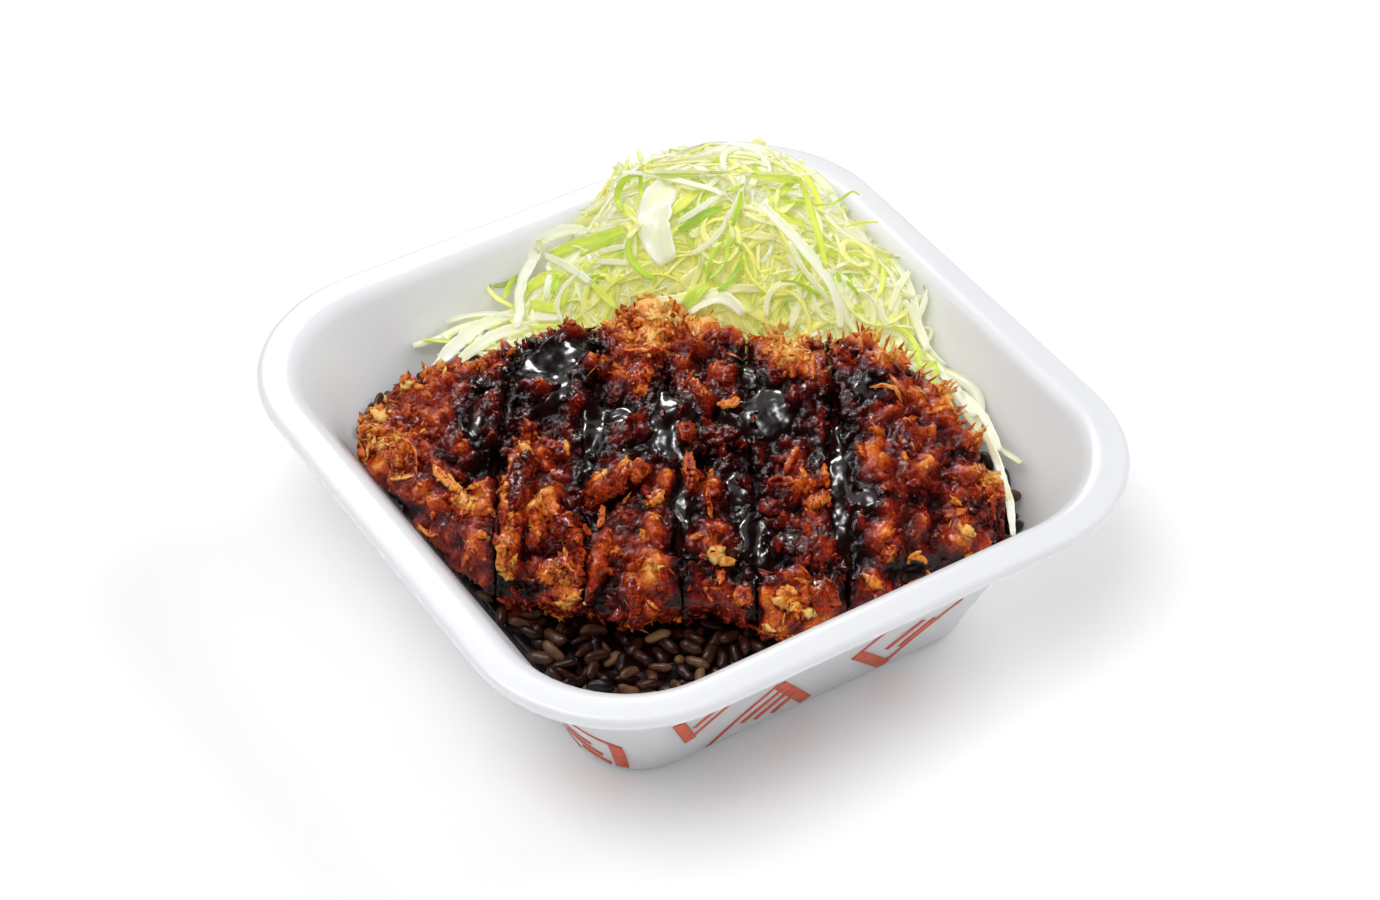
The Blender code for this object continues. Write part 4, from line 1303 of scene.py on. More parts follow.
def make_rice():
    """Packed rice with separate grains lying on it wherever it shows."""
    rng = np.random.default_rng(RICE_SEED)
    core, faces = make_rice_core()
    parts = [(core, faces, {"tone": np.full(len(core), 0.02)})]
    spots, turns, sizes, tones = drop_grains(rng, GRAIN_COUNT)
    shape, faces = grain_shape()
    up = rng.normal(size=turns.shape)
    points, tris, each = place_shards([shape], faces, np.zeros(len(spots), int), spots, turns, up, sizes)
    parts.append((points, tris, {"tone": np.repeat(tones, each)}))
    points, faces, fields = join_arrays(parts)
    points += 0.34 * MM * ripples(points, 2.2 * MM, 101)
    points = keep_off_wall(points, 0.3 * MM)
    return mesh_piece("sauced_rice", points, faces, fields)


# Camera


PHOTO_SIZE = (1380, 900)
CAMERA_AZIMUTH = math.radians(-33.186)
CAMERA_HEIGHT_ANGLE = math.radians(42.207)
CAMERA_ROLL = math.radians(0.768)
CAMERA_PLACE = Vector((-0.33421, -0.51206, 0.59418))
CAMERA_LENS = 90.43
SENSOR_WIDTH = 36.0
FOCUS = CAMERA_LENS / SENSOR_WIDTH * PHOTO_SIZE[0]


def camera_axes():
    """The camera's turn as a matrix, and its axes: right, up and back."""
    az, el, roll = CAMERA_AZIMUTH, CAMERA_HEIGHT_ANGLE, CAMERA_ROLL
    back = Vector((math.sin(az) * math.cos(el), -math.cos(az) * math.cos(el), math.sin(el)))
    right = Vector((math.cos(az), math.sin(az), 0.0))
    up = back.cross(right)
    turned_right = right * math.cos(roll) + up * math.sin(roll)
    turned_up = up * math.cos(roll) - right * math.sin(roll)
    return Matrix((turned_right, turned_up, back)).transposed(), turned_right, turned_up, back


def photo_pixels(points, axes):
    """Where points are in the photo, and how near the camera they are."""
    right, up, back = axes
    away = points - np.array(CAMERA_PLACE)
    depth = away @ back
    across = PHOTO_SIZE[0] / 2.0 - (away @ right) / depth * FOCUS
    down = PHOTO_SIZE[1] / 2.0 + (away @ up) / depth * FOCUS
    return np.stack([across, down], -1), depth


def seen_spot(px, py, height, lift):
    """Where the camera's ray through a pixel of the photo meets a surface raised by lift."""
    _, right, up, back = camera_axes()
    ray = right * ((px - PHOTO_SIZE[0] / 2.0) / FOCUS) - up * ((py - PHOTO_SIZE[1] / 2.0) / FOCUS) - back
    dist = np.arange(700.0, 1150.0, 0.5) * MM
    spots = np.array(CAMERA_PLACE) + dist[:, None] * np.array(ray)
    along, across = from_plan(spots[:, 0], spots[:, 1])
    under = spots[:, 2] < height(along, across) + lift
    level = across > HEAP_CENTRE[1]
    return spots[int(np.argmax(under | level))]


# Cabbage


# Dents in the heap: (along, across, reach) in mm, and the share of the full depth.
HEAP_DENTS = ((46.0, 70.0, 34.0, 1.0), (-34.0, 60.0, 22.0, 0.8))
DENT_DEPTH = 9.5 * MM

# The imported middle's side from below: (share of its reach, share of the way up to the heap's foot).
CORE_SIDE = ((0.02, 0.0), (0.8, 0.0), (0.93, 0.0), (0.97, 0.5), (1.0, 1.0))


def heap_limit(angle):
    """How far the heap reaches from its centre at an angle."""
    side = np.where(np.cos(angle) > 0.0, HEAP_RIGHT, HEAP_LEFT)
    depth = np.where(np.sin(angle) > 0.0, HEAP_BACK, HEAP_FRONT)
    return 1.0 / np.hypot(np.cos(angle) / side, np.sin(angle) / depth)


def heap_height(along, across):
    """Height of the heap's top: a lumpy dome with dents."""
    du, dv = along - HEAP_CENTRE[0], across - HEAP_CENTRE[1]
    share = np.minimum(1.0, np.hypot(du, dv) / heap_limit(np.arctan2(dv, du)))
    dome = (1.0 - share * share) ** 0.85
    dent = 0.0 * dome
    for cu, cv, reach, depth in HEAP_DENTS:
        far = np.hypot(along - cu * MM, across - cv * MM) / (reach * MM)
        dent = np.maximum(dent, depth - depth * smooth_step(0.2, 1.0, far))
    lumps = 1.5 * MM * ripple(plan_points(along, across, 0.0 * along), 11.0 * MM, 95)
    return HEAP_FOOT + (HEAP_TOP - HEAP_FOOT) * dome + lumps - DENT_DEPTH * dent


def heap_room(along, across, z):
    """True where a place is clear of the cutlet and the wall."""
    x, y = to_plan(along, across)
    off_wall = wall_reach(x, y, np.minimum(z, BOWL_HEIGHT - 1.0 * MM)) > 0.8 * MM
    over = z > cutlet_top(along, across) + 1.5 * MM
    return off_wall & (over | ~inside_cutlet(along, across, 1.2 * MM))


def heap_place(dist, angle):
    """Where a place round the heap's centre is, along and across."""
    return HEAP_CENTRE[0] + dist * np.cos(angle), HEAP_CENTRE[1] + dist * np.sin(angle)


def heap_edge():
    """Angles round the heap and how far its packed middle reaches at each."""
    angles = np.arange(90) / 90 * math.tau
    dist = np.arange(10.0, 90.0, 0.5) * MM
    reach = []
    for angle in angles:
        along, across = heap_place(dist, angle)
        x, y = to_plan(along, across)
        blocked = (wall_reach(x, y, HEAP_FOOT) < 3.0 * MM) | inside_cutlet(along, across, 1.5 * MM)
        free = dist[np.argmax(blocked)] if blocked.any() else dist[-1]
        reach.append(min(free, float(heap_limit(np.array(angle)))))
    return angles, np.array(reach)


def make_heap_core():
    """Packed middle of the heap, which closes the gaps between the shreds."""
    angles, reach = heap_edge()
    rings = []
    for share, rise in CORE_SIDE:
        along, across = heap_place(share * reach, angles)
        foot = rice_surface(*to_plan(along, across)) + MM
        rings.append(plan_points(along, across, foot + (HEAP_FOOT + MM - foot) * rise))
    for share in np.linspace(0.97, 0.01, 26):
        along, across = heap_place(share * reach, angles)
        rings.append(plan_points(along, across, heap_height(along, across) - CORE_DEPTH))
    for ring in rings[len(CORE_SIDE) - 1:]:
        ring[:, 2] += MM * ripple(ring, 5.0 * MM, 96)
    return closed_rings(rings)


def ribbon(path, widths, thickness, roll, cells, curl, frill, facing=(0.0, 0.0, 1.0)):
    """A thin strip along a path: cells across, both faces, closed at its edges and ends."""
    count = len(path)
    ahead = unit(np.gradient(path, axis=0))
    side = unit(np.cross(ahead, np.array(facing)), 1e-6)
    up = np.cross(side, ahead)
    c, s = np.cos(roll)[:, None], np.sin(roll)[:, None]
    side, up = side * c + up * s, up * c - side * s
    across = np.linspace(-1.0, 1.0, cells + 1)
    wave = np.sin(np.arange(count)[:, None] * 1.35 + np.where(across > 0.0, 2.1, 0.0)[None, :])
    lift = curl * (across ** 2 - 0.5)[None, :] + frill * wave * (np.abs(across) ** 1.5)[None, :]
    face = (path[:, None, :] + side[:, None, :] * (across[None, :, None] * widths[:, None, None] / 2.0)
            + up[:, None, :] * lift[:, :, None])
    taper = np.sqrt(np.clip(1.0 - np.abs(across) ** 4, 0.2, 1.0))[None, :, None]
    half = up[:, None, :] * thickness / 2.0 * taper
    loop = np.concatenate([face + half, (face - half)[:, ::-1]], axis=1)
    around = loop.shape[1]
    ids = np.arange(count * around).reshape(count, around)
    quads = grid_quads(ids, np.roll(ids, -1, 1))
    caps = []
    for k in range(cells):
        m = around - 1 - k
        caps.append((ids[0, k], ids[0, m], ids[0, m - 1], ids[0, k + 1]))
        caps.append((ids[-1, k], ids[-1, k + 1], ids[-1, m - 1], ids[-1, m]))
    rim = np.abs(np.concatenate([across, across[::-1]]))
    faces = split_quads(np.concatenate([quads, np.array(caps)]))
    return loop.reshape(-1, 3), faces, np.tile(rim, count)


def tapered(stations, start, power):
    """Widths along a shred as shares of its widest: it narrows towards both ends."""
    return np.sin(np.linspace(start, math.pi - start, stations)) ** power


def shred_path(rng, length, arch, turn):
    """A shred that starts somewhere on the heap and follows its slope, curling as it goes."""
    angle = rng.uniform(0.0, math.tau)
    dist = math.sqrt(rng.random()) * 0.98 * float(heap_limit(np.array(angle)))
    start = (HEAP_CENTRE[0] + dist * math.cos(angle), HEAP_CENTRE[1] + dist * math.sin(angle))
    stations = max(6, int(length / (2.2 * MM)))
    stride = length / stations
    t = np.arange(stations + 1) / stations
    best = (np.zeros(0),) * 3
    for _ in range(5):
        wobble = rng.uniform(0.0, math.tau)
        heading = rng.uniform(0.0, math.tau) + turn * t + 0.3 * np.sin(wobble + 6.0 * t)
        along = start[0] + np.cumsum(stride * np.cos(heading)) - stride * math.cos(heading[0])
        across = start[1] + np.cumsum(stride * np.sin(heading)) - stride * math.sin(heading[0])
        lift = arch * np.sin(math.pi * t) + 0.5 * MM * np.sin(wobble + 6.0 * t)
        z = heap_height(along, across) + lift
        clear = heap_room(along, across, z)
        stop = len(t) if clear.all() else int(np.argmin(clear))
        if stop > len(best[0]):
            best = (along[:stop], across[:stop], z[:stop])
        if stop > 0.7 * len(t):
            break
    return best


# Loose shreds: name, count, length, width, thickness and arch in mm, turn, cells across, frill in mm.
SHRED_KINDS = (
    ("thread", 110, (26.0, 56.0), (0.8, 1.4), 0.5, (0.5, 3.0), 2.6, 2, 0.0),
    ("strip", 290, (30.0, 60.0), (1.6, 3.0), 0.5, (0.0, 2.5), 2.6, 2, 0.1),
    ("leaf", 120, (14.0, 30.0), (3.0, 6.0), 0.45, (-0.5, 1.0), 1.6, 6, 0.4),
    ("curl", 70, (26.0, 44.0), (0.9, 1.9), 0.5, (1.0, 5.0), 6.0, 3, 0.1),
)

# Where the shreds are greenest, yellow and nearly white: (along, across, reach) in mm.
GREEN_PLACES = (
    (-24.0, 46.0, 9.0), (5.0, 54.0, 9.0), (22.0, 68.0, 9.0), (9.0, 38.0, 4.0), (-32.0, 46.0, 6.0),
    (40.0, 66.0, 9.0), (58.0, 36.0, 10.0), (30.0, 46.0, 5.0), (-8.0, 62.0, 8.0),
)
YELLOW_PLACES = ((16.0, 41.0, 26.0), (-4.0, 40.0, 20.0), (-22.0, 33.0, 12.0))
PALE_PLACES = (
    (-36.0, 60.0, 18.0), (44.0, 64.0, 20.0), (60.0, 46.0, 16.0), (-52.0, 40.0, 14.0), (28.0, 84.0, 14.0),
)


def nearness(along, across, places):
    """1 at the middle of the nearest of the places, 0 beyond its reach."""
    near = 0.0 * along
    for cu, cv, reach in places:
        near = np.maximum(near, 1.0 - np.hypot(along / MM - cu, across / MM - cv) / reach)
    return near


def make_shreds(kind):
    """All loose shreds of one kind, coloured by where they lie on the heap."""
    name, count, lengths, widths, thickness, arches, turn, cells, frill = kind
    rng = np.random.default_rng(len(name) * 100 + count)
    parts = []
    while len(parts) < count:
        length = rng.uniform(*lengths) * MM
        along, across, z = shred_path(rng, length, rng.uniform(*arches) * MM, rng.normal(0.0, turn))
        if len(along) < 5:
            continue
        path = plan_points(along, across, z + rng.uniform(-0.8, 2.0) * MM)
        stations = len(path)
        width = rng.uniform(*widths) * MM * (1.0 + 0.08 * rng.normal(size=stations).clip(-1, 1))
        ends = tapered(stations, 0.5, 0.25)
        roll = rng.uniform(-0.5, 0.5) + rng.normal(0.0, 0.5) * np.linspace(-1, 1, stations)
        curl = rng.uniform(-0.3, 0.3) * widths[1] * MM
        points, faces, rim = ribbon(path, width * ends, thickness * MM, roll, cells, curl, frill * MM)
        middle = along[stations // 2], across[stations // 2]
        green, yellow, pale = (nearness(*middle, places)
                               for places in (GREEN_PLACES, YELLOW_PLACES, PALE_PLACES))
        if rng.random() < 0.6 * pale:
            continue
        group = rng.random()
        if group < 0.02 + 0.34 * green:
            shade = rng.uniform(0.58, 0.80)
        elif group < 0.22 + 0.34 * green + 0.9 * yellow:
            shade = rng.uniform(0.2, 0.38) + 0.12 * yellow
        else:
            shade = rng.uniform(0.03, 0.16)
        shade *= 1.0 - min(0.9, 1.5 * pale)
        streak = 0.12 * np.sin(rng.uniform(0, 6) + np.linspace(0, rng.uniform(0, 7), stations))
        greens = shade + np.repeat(streak, len(points) // stations)
        parts.append((points, faces, {"green": greens + 0.12 * rim}))
    return join_arrays(parts)


def make_hanging_shreds():
    """Shreds that hang down the heap's far side between its top and the wall."""
    rng = np.random.default_rng(HANGING_SEED)
    angles, reach = heap_edge()
    parts = []
    for _ in range(HANGING_SHREDS):
        stations = int(rng.integers(9, 16))
        t = np.linspace(0.0, 1.0, stations)
        angle = rng.uniform(-0.5, math.pi + 0.5) + rng.uniform(-0.55, 0.55) * t
        edge = np.interp(angle % math.tau, angles, reach, period=math.tau)
        top = heap_height(*heap_place(0.97 * edge, angle))
        z = top + rng.uniform(-9.0, 1.0) * MM - rng.uniform(5.0, 16.0) * MM * t
        z += rng.uniform(0.3, 1.2) * MM * np.sin(rng.uniform(0, 6) + 7.0 * t)
        z = np.maximum(z, RICE_LEVEL + 1.0 * MM)
        room = 0.3 * np.maximum(0.0, z - HEAP_FOOT)
        dist = edge + rng.uniform(0.0, 1.6) * MM + rng.uniform(0.2, 1.1) * room
        path = plan_points(*heap_place(dist, angle), z)
        widths = rng.uniform(1.6, 3.2) * MM * tapered(stations, 0.5, 0.25)
        roll = rng.uniform(-0.4, 0.4) + rng.normal(0.0, 0.4) * t
        out = plan_points(np.cos(angle), np.sin(angle), 0.5 + 0.0 * t)
        points, faces, rim = ribbon(path, widths, 0.5 * MM, roll, 2, 0.3 * MM, 0.0, out)
        parts.append((points, faces, {"green": rng.uniform(0.03, 0.42) + 0.12 * rim}))
    return join_arrays(parts)


# How much higher over the heap than noted these shreds lie, in mm, so that loose ones don't hide them.
NOTED_LIFT = 3.0

# From this width on, in mm, a noted shred is a piece of leaf with a wavy edge.
LEAF_WIDTH = 3.3

# Shreds that stand out in the photo: width in mm, greenness in the middle and at the edges,
# height above the heap in mm and the places they pass, in the photo's pixels.
NOTED_SHREDS = (
    (2.0, 0.20, 0.55, 4.5, ((643, 159), (654, 149), (671, 144), (693, 146), (714, 151), (726, 156),
                            (731, 167), (736, 184))),
    (1.6, 0.45, 0.55, 3.5, ((655, 153), (680, 151), (705, 155), (722, 160))),
    (3.0, 0.86, 0.80, 3.0, ((655, 165), (672, 168), (686, 164), (699, 158))),
    (1.4, 0.85, 0.85, 4.5, ((709, 151), (719, 148), (731, 146))),
    (2.2, 0.04, 0.20, 5.0, ((620, 165), (632, 160), (645, 168), (665, 174), (690, 180), (715, 186),
                            (723, 193))),
    (1.7, 0.78, 0.90, 4.0, ((640, 172), (626, 176), (618, 187), (616, 200), (622, 211))),
    (1.2, 0.85, 0.85, 3.0, ((641, 170), (640, 182), (640, 193), (643, 200))),
    (2.6, 0.40, 0.62, 2.5, ((622, 205), (631, 214), (640, 224))),
    (1.9, 0.30, 0.45, 4.0, ((641, 222), (632, 232), (627, 240))),
    (2.1, 0.82, 0.95, 4.0, ((629, 238), (625, 248), (631, 262), (641, 273), (654, 278))),
    (8.5, 0.10, 0.02, 3.0, ((668, 183), (657, 200), (653, 222), (658, 243), (668, 262))),
    (2.6, 0.62, 0.66, 2.0, ((672, 213), (685, 200), (697, 193))),
    (1.2, 0.92, 0.92, 4.5, ((744, 180), (736, 186), (726, 190))),
    (1.7, 0.06, 0.15, 4.0, ((728, 190), (712, 200), (695, 212), (678, 222))),
    (2.4, 0.98, 0.92, 2.8, ((679, 230), (690, 226), (698, 216), (710, 211), (723, 207))),
    (1.3, 0.88, 0.88, 4.0, ((741, 190), (741, 202), (736, 214), (733, 226))),
    (1.6, 0.04, 0.12, 4.0, ((743, 158), (744, 180), (737, 202), (724, 226), (712, 242), (692, 254))),
    (0.9, 0.90, 0.90, 4.0, ((724, 242), (714, 248), (709, 262), (707, 279))),
    (1.0, 0.80, 0.90, 3.6, ((728, 232), (728, 250), (726, 264), (716, 276), (708, 280))),
    (0.9, 0.95, 0.95, 4.0, ((733, 242), (739, 245), (743, 251))),
    (1.6, 0.98, 0.98, 4.0, ((743, 259), (738, 268), (733, 280), (727, 288), (718, 291))),
    (3.4, 0.78, 0.72, 3.0, ((708, 285), (698, 290), (690, 298), (684, 307))),
    (2.4, 0.30, 0.25, 2.0, ((690, 236), (704, 230), (712, 222))),
    (3.4, 0.66, 0.84, 3.5, ((752, 162), (765, 170), (780, 176), (799, 180))),
    (2.0, 0.72, 0.80, 3.0, ((780, 196), (786, 187), (796, 179))),
    (1.9, 0.62, 0.78, 4.0, ((799, 177), (806, 195), (812, 215), (820, 240), (826, 268))),
    (1.3, 0.60, 0.70, 3.0, ((769, 197), (772, 208), (782, 218), (797, 222), (806, 229))),
    (0.9, 0.80, 0.80, 3.0, ((781, 202), (800, 201), (812, 204))),
    (0.6, 0.80, 0.80, 3.0, ((813, 205), (833, 205), (847, 196), (853, 187), (859, 195))),
    (1.4, 0.16, 0.20, 3.0, ((787, 168), (803, 162), (820, 151))),
    (1.8, 0.50, 0.60, 3.0, ((758, 155), (777, 157), (794, 152))),
    (1.0, 0.30, 0.40, 3.0, ((737, 144), (747, 152), (752, 170))),
    (2.0, 0.24, 0.36, 2.5, ((742, 150), (752, 160), (757, 174), (752, 186))),
    (3.1, 0.04, 0.14, 4.0, ((762, 205), (776, 219), (793, 236), (812, 258), (828, 280), (838, 300),
                            (840, 330))),
    (1.5, 0.06, 0.16, 3.5, ((789, 240), (798, 262), (812, 280), (832, 304))),
    (1.6, 0.26, 0.34, 2.6, ((745, 214), (765, 222), (785, 225), (801, 229))),
    (2.2, 0.30, 0.34, 2.0, ((734, 233), (755, 235), (776, 238))),
    (2.4, 0.24, 0.30, 2.0, ((655, 300), (690, 297), (715, 293), (745, 287), (766, 290))),
    (3.2, 0.04, 0.14, 3.5, ((689, 313), (704, 303), (720, 294), (733, 302), (744, 315))),
    (1.2, 0.20, 0.30, 2.6, ((618, 315), (640, 307), (660, 304), (684, 302))),
    (1.6, 0.10, 0.30, 4.0, ((766, 318), (766, 300), (771, 288), (782, 281), (797, 284))),
    (1.1, 0.96, 0.96, 4.2, ((781, 281), (793, 280), (806, 286), (820, 296))),
    (1.3, 0.14, 0.24, 3.0, ((798, 286), (802, 302), (796, 318), (790, 330))),
    (1.0, 0.06, 0.10, 2.5, ((836, 268), (845, 262), (857, 261))),
    (1.2, 0.90, 0.90, 2.8, ((837, 272), (840, 282))),
    (1.2, 0.92, 0.92, 3.0, ((846, 281), (852, 286), (858, 294))),
    (2.0, 0.70, 0.70, 2.0, ((828, 250), (836, 255))),
    (0.7, 0.72, 0.72, 2.5, ((843, 251), (850, 257), (859, 264))),
    (0.8, 0.74, 0.74, 3.0, ((845, 252), (858, 255), (874, 261))),
    (0.7, 0.56, 0.56, 3.0, ((846, 227), (858, 222), (878, 222))),
    (1.2, 0.60, 0.74, 3.0, ((883, 267), (884, 283), (879, 298))),
    (1.7, 0.10, 0.20, 2.0, ((911, 270), (901, 282), (894, 296), (889, 313))),
    (1.7, 0.04, 0.14, 2.0, ((931, 283), (925, 300), (918, 320))),
    (1.7, 0.06, 0.12, 3.0, ((860, 290), (872, 299), (880, 313), (889, 328))),
    (1.4, 0.26, 0.40, 2.5, ((866, 300), (870, 315), (868, 334))),
    (2.2, 0.72, 0.72, 2.2, ((853, 307), (862, 311))),
    (1.3, 0.56, 0.66, 2.2, ((846, 316), (851, 332))),
    (3.0, 0.44, 0.54, 2.0, ((882, 322), (874, 330), (870, 342))),
    (1.5, 0.66, 0.80, 4.0, ((892, 326), (905, 330), (914, 340), (918, 352), (917, 364), (926, 370),
                            (935, 362))),
    (1.2, 0.76, 0.80, 4.0, ((935, 361), (938, 371), (933, 384), (928, 395))),
    (0.8, 0.16, 0.26, 2.0, ((919, 328), (935, 327), (929, 340), (922, 352))),
    (2.4, 0.20, 0.30, 2.0, ((898, 338), (902, 354), (898, 372))),
    (1.2, 0.04, 0.12, 2.5, ((866, 338), (875, 344), (881, 354))),
    (1.8, 0.06, 0.20, 3.0, ((803, 352), (803, 337), (810, 330), (823, 333))),
    (2.8, 0.70, 0.80, 3.0, ((553, 254), (567, 247), (586, 242), (605, 237), (624, 230))),
    (1.2, 0.78, 0.78, 3.5, ((580, 256), (600, 246), (626, 232))),
    (1.3, 0.10, 0.24, 3.5, ((588, 233), (608, 227), (630, 219))),
    (3.0, 0.02, 0.12, 3.5, ((536, 251), (541, 241), (554, 234), (570, 228), (586, 231))),
    (3.4, 0.02, 0.10, 4.0, ((542, 240), (535, 258), (525, 275), (519, 295), (521, 312), (517, 327))),
    (2.4, 0.04, 0.14, 4.0, ((545, 255), (560, 262), (575, 271), (592, 283))),
    (1.8, 0.58, 0.72, 3.5, ((590, 281), (604, 296), (617, 309))),
    (1.4, 0.76, 0.80, 3.0, ((518, 273), (503, 277), (487, 284))),
    (1.6, 0.70, 0.78, 3.0, ((515, 275), (507, 288), (505, 298))),
    (1.2, 0.34, 0.50, 3.0, ((486, 285), (493, 297), (503, 303), (514, 307))),
    (2.8, 0.66, 0.74, 2.5, ((527, 290), (538, 280), (550, 275), (563, 275))),
    (2.2, 0.84, 0.84, 2.5, ((558, 275), (555, 285), (553, 294))),
    (2.6, 0.68, 0.74, 2.5, ((530, 303), (544, 307), (557, 310))),
    (1.8, 0.02, 0.06, 3.2, ((550, 273), (548, 288), (545, 301))),
    (1.3, 0.06, 0.20, 3.6, ((579, 272), (566, 283), (557, 298), (556, 312), (563, 323))),
    (1.7, 0.66, 0.74, 2.8, ((568, 288), (564, 298), (561, 308))),
    (0.9, 0.52, 0.60, 3.0, ((521, 326), (545, 327), (556, 325))),
    (2.0, 0.03, 0.06, 2.6, ((526, 318), (542, 316), (558, 318))),
    (3.4, 0.02, 0.08, 1.5, ((430, 376), (450, 350), (478, 326), (516, 312))),
    (2.8, 0.05, 0.14, 2.2, ((447, 378), (466, 354), (496, 334), (540, 322))),
    (2.4, 0.02, 0.10, 1.5, ((474, 372), (496, 352), (520, 342), (545, 340))),
    (1.6, 0.68, 0.74, 3.0, ((583, 270), (592, 262))),
    (1.6, 0.84, 0.84, 2.6, ((588, 279), (600, 275))),
    (1.6, 0.40, 0.50, 2.4, ((618, 274), (612, 282), (605, 292))),
    (1.4, 0.03, 0.10, 2.6, ((598, 252), (612, 248), (627, 246))),
    (1.5, 0.04, 0.12, 2.4, ((598, 262), (614, 261), (630, 263))),
    (2.4, 0.02, 0.08, 2.5, ((905, 300), (917, 322), (928, 350))),
    (2.2, 0.03, 0.08, 1.5, ((962, 392), (984, 416), (1000, 450))),
    (2.0, 0.05, 0.12, 1.5, ((984, 430), (998, 462), (1009, 500))),
    (2.0, 0.04, 0.10, 1.5, ((1000, 470), (1010, 500), (1013, 535))),
    (3.0, 0.02, 0.06, 2.0, ((940, 372), (958, 392), (974, 416))),
)


def noted_shreds():
    """The shreds that stand out in the photo, laid where its camera sees them over the heap."""
    rng = np.random.default_rng(NOTED_SEED)
    back = np.array(camera_axes()[3])
    parts = []
    for width, middle, edge, lift, places in NOTED_SHREDS:
        corners = np.array([seen_spot(px, py, heap_height, (lift + NOTED_LIFT) * MM) for px, py in places])
        path = smooth_path(corners, 1.3 * MM, 4)
        stations = len(path)
        widths = width * MM * tapered(stations, 0.35, 0.5) * (1.0 + 0.08 * rng.normal(size=stations))
        roll = rng.uniform(-0.4, 0.4) + 0.4 * np.sin(np.linspace(0.0, 3.0, stations) + rng.uniform(0, 6))
        cells, frill = (8, 0.06 * width) if width > LEAF_WIDTH else (4, 0.0)
        curl = 0.14 * width * MM
        points, faces, rim = ribbon(path, widths, 0.45 * MM, roll, cells, curl, frill * MM, back)
        parts.append((points, faces, {"green": middle + (edge - middle) * rim ** 2}))
    return parts


def make_cabbage():
    """The heap: packed middle, loose shreds and noted ones, pressed down under the CAD's top."""
    core, faces = make_heap_core()
    along, across = from_plan(core[:, 0], core[:, 1])
    glow = nearness(along, across, YELLOW_PLACES)
    parts = [(core, faces, {"green": 0.24 + 0.24 * glow})]
    parts += [make_shreds(kind) for kind in SHRED_KINDS]
    parts.append(make_hanging_shreds())
    parts += noted_shreds()
    points, faces, fields = join_arrays(parts)
    over = np.maximum(0.0, points[:, 2] - (CAD_BOX[1][2] - TOP_ROOM))
    points[:, 2] -= over - (TOP_ROOM - TOP_MARGIN) * (1.0 - np.exp(-over / TOP_ROOM))
    inside = points[:, 2] < BOWL_HEIGHT
    points[inside] = keep_off_wall(points[inside], 0.3 * MM)
    return mesh_piece("shredded_cabbage", points, faces, fields)


# Materials


def new_material(name):
    """An empty material made of nodes."""
    mat = bpy.data.materials.new(name)
    mat.use_nodes = True
    mat.node_tree.nodes.clear()
    return mat


def add(mat, kind, settings=None, links=None):
    """Adds a node, sets its values and ramp stops and links its inputs from (node, output name)."""
    node = mat.node_tree.nodes.new(kind)
    for key, value in (settings or {}).items():
        if key == "stops":
            elements = node.color_ramp.elements
            while len(elements) < len(value):
                elements.new(0.5)
            for element, (place, colour) in zip(elements, value):
                element.position = place
                element.color = srgb(colour)
        elif isinstance(key, int) or key in node.inputs:
            node.inputs[key].default_value = value
        else:
            setattr(node, key, value)
    for key, (source, output) in (links or {}).items():
        mat.node_tree.links.new(source.outputs[output], node.inputs[key])
    return node


def mottled(mat, coords, field, noise_settings, reach):
    """A field kept at the mesh's points, made uneven by noise that shifts it within reach."""
    value = add(mat, "ShaderNodeAttribute", {"attribute_name": field})
    spots = add(mat, "ShaderNodeTexNoise", noise_settings, {"Vector": (coords, "Object")})
    shift = add(mat, "ShaderNodeMath", {"operation": "MULTIPLY_ADD", 1: reach, 2: -reach / 2.0},
                {0: (spots, "Fac")})
    return add(mat, "ShaderNodeMath", {"operation": "ADD"}, {0: (value, "Fac"), 1: (shift, "Value")})


def finish_material(mat, shader):
    """Joins the shader to the material's output."""
    add(mat, "ShaderNodeOutputMaterial", {}, {"Surface": (shader, "BSDF")})
    return mat


def foam_material():
    """Pressed polystyrene foam: white, a faint sheen and a barely seen grain of cells."""
    mat = new_material("pressed_white_foam")
    coords = add(mat, "ShaderNodeTexCoord")
    grain = add(mat, "ShaderNodeTexNoise", {"Scale": 1.0 / (1.2 * MM), "Detail": 3.0},
                {"Vector": (coords, "Object")})
    bump = add(mat, "ShaderNodeBump", {"Strength": 0.06, "Distance": 0.1 * MM}, {"Height": (grain, "Fac")})
    shader = add(mat, "ShaderNodeBsdfPrincipled",
                 {"Base Color": srgb("#E4E5E8"), "Roughness": 0.34, "IOR": 1.5, "Subsurface Weight": 1.0,
                  "Subsurface Scale": 4.0 * MM, "Subsurface Radius": (1.0, 1.0, 1.0),
                  "Coat Weight": 0.15, "Coat Roughness": 0.2},
                 {"Normal": (bump, "Normal")})
    return finish_material(mat, shader)


def ink_material():
    """Orange-red ink printed on foam, a little uneven."""
    mat = new_material("orange_red_ink")
    coords = add(mat, "ShaderNodeTexCoord")
    patchy = add(mat, "ShaderNodeTexNoise", {"Scale": 1.0 / (2.5 * MM), "Detail": 4.0},
                 {"Vector": (coords, "Object")})
    colour = add(mat, "ShaderNodeValToRGB", {"stops": ((0.3, "#D2441C"), (0.7, "#E8602C"))},
                 {"Fac": (patchy, "Fac")})
    shader = add(mat, "ShaderNodeBsdfPrincipled", {"Roughness": 0.42}, {"Base Color": (colour, "Color")})
    return finish_material(mat, shader)


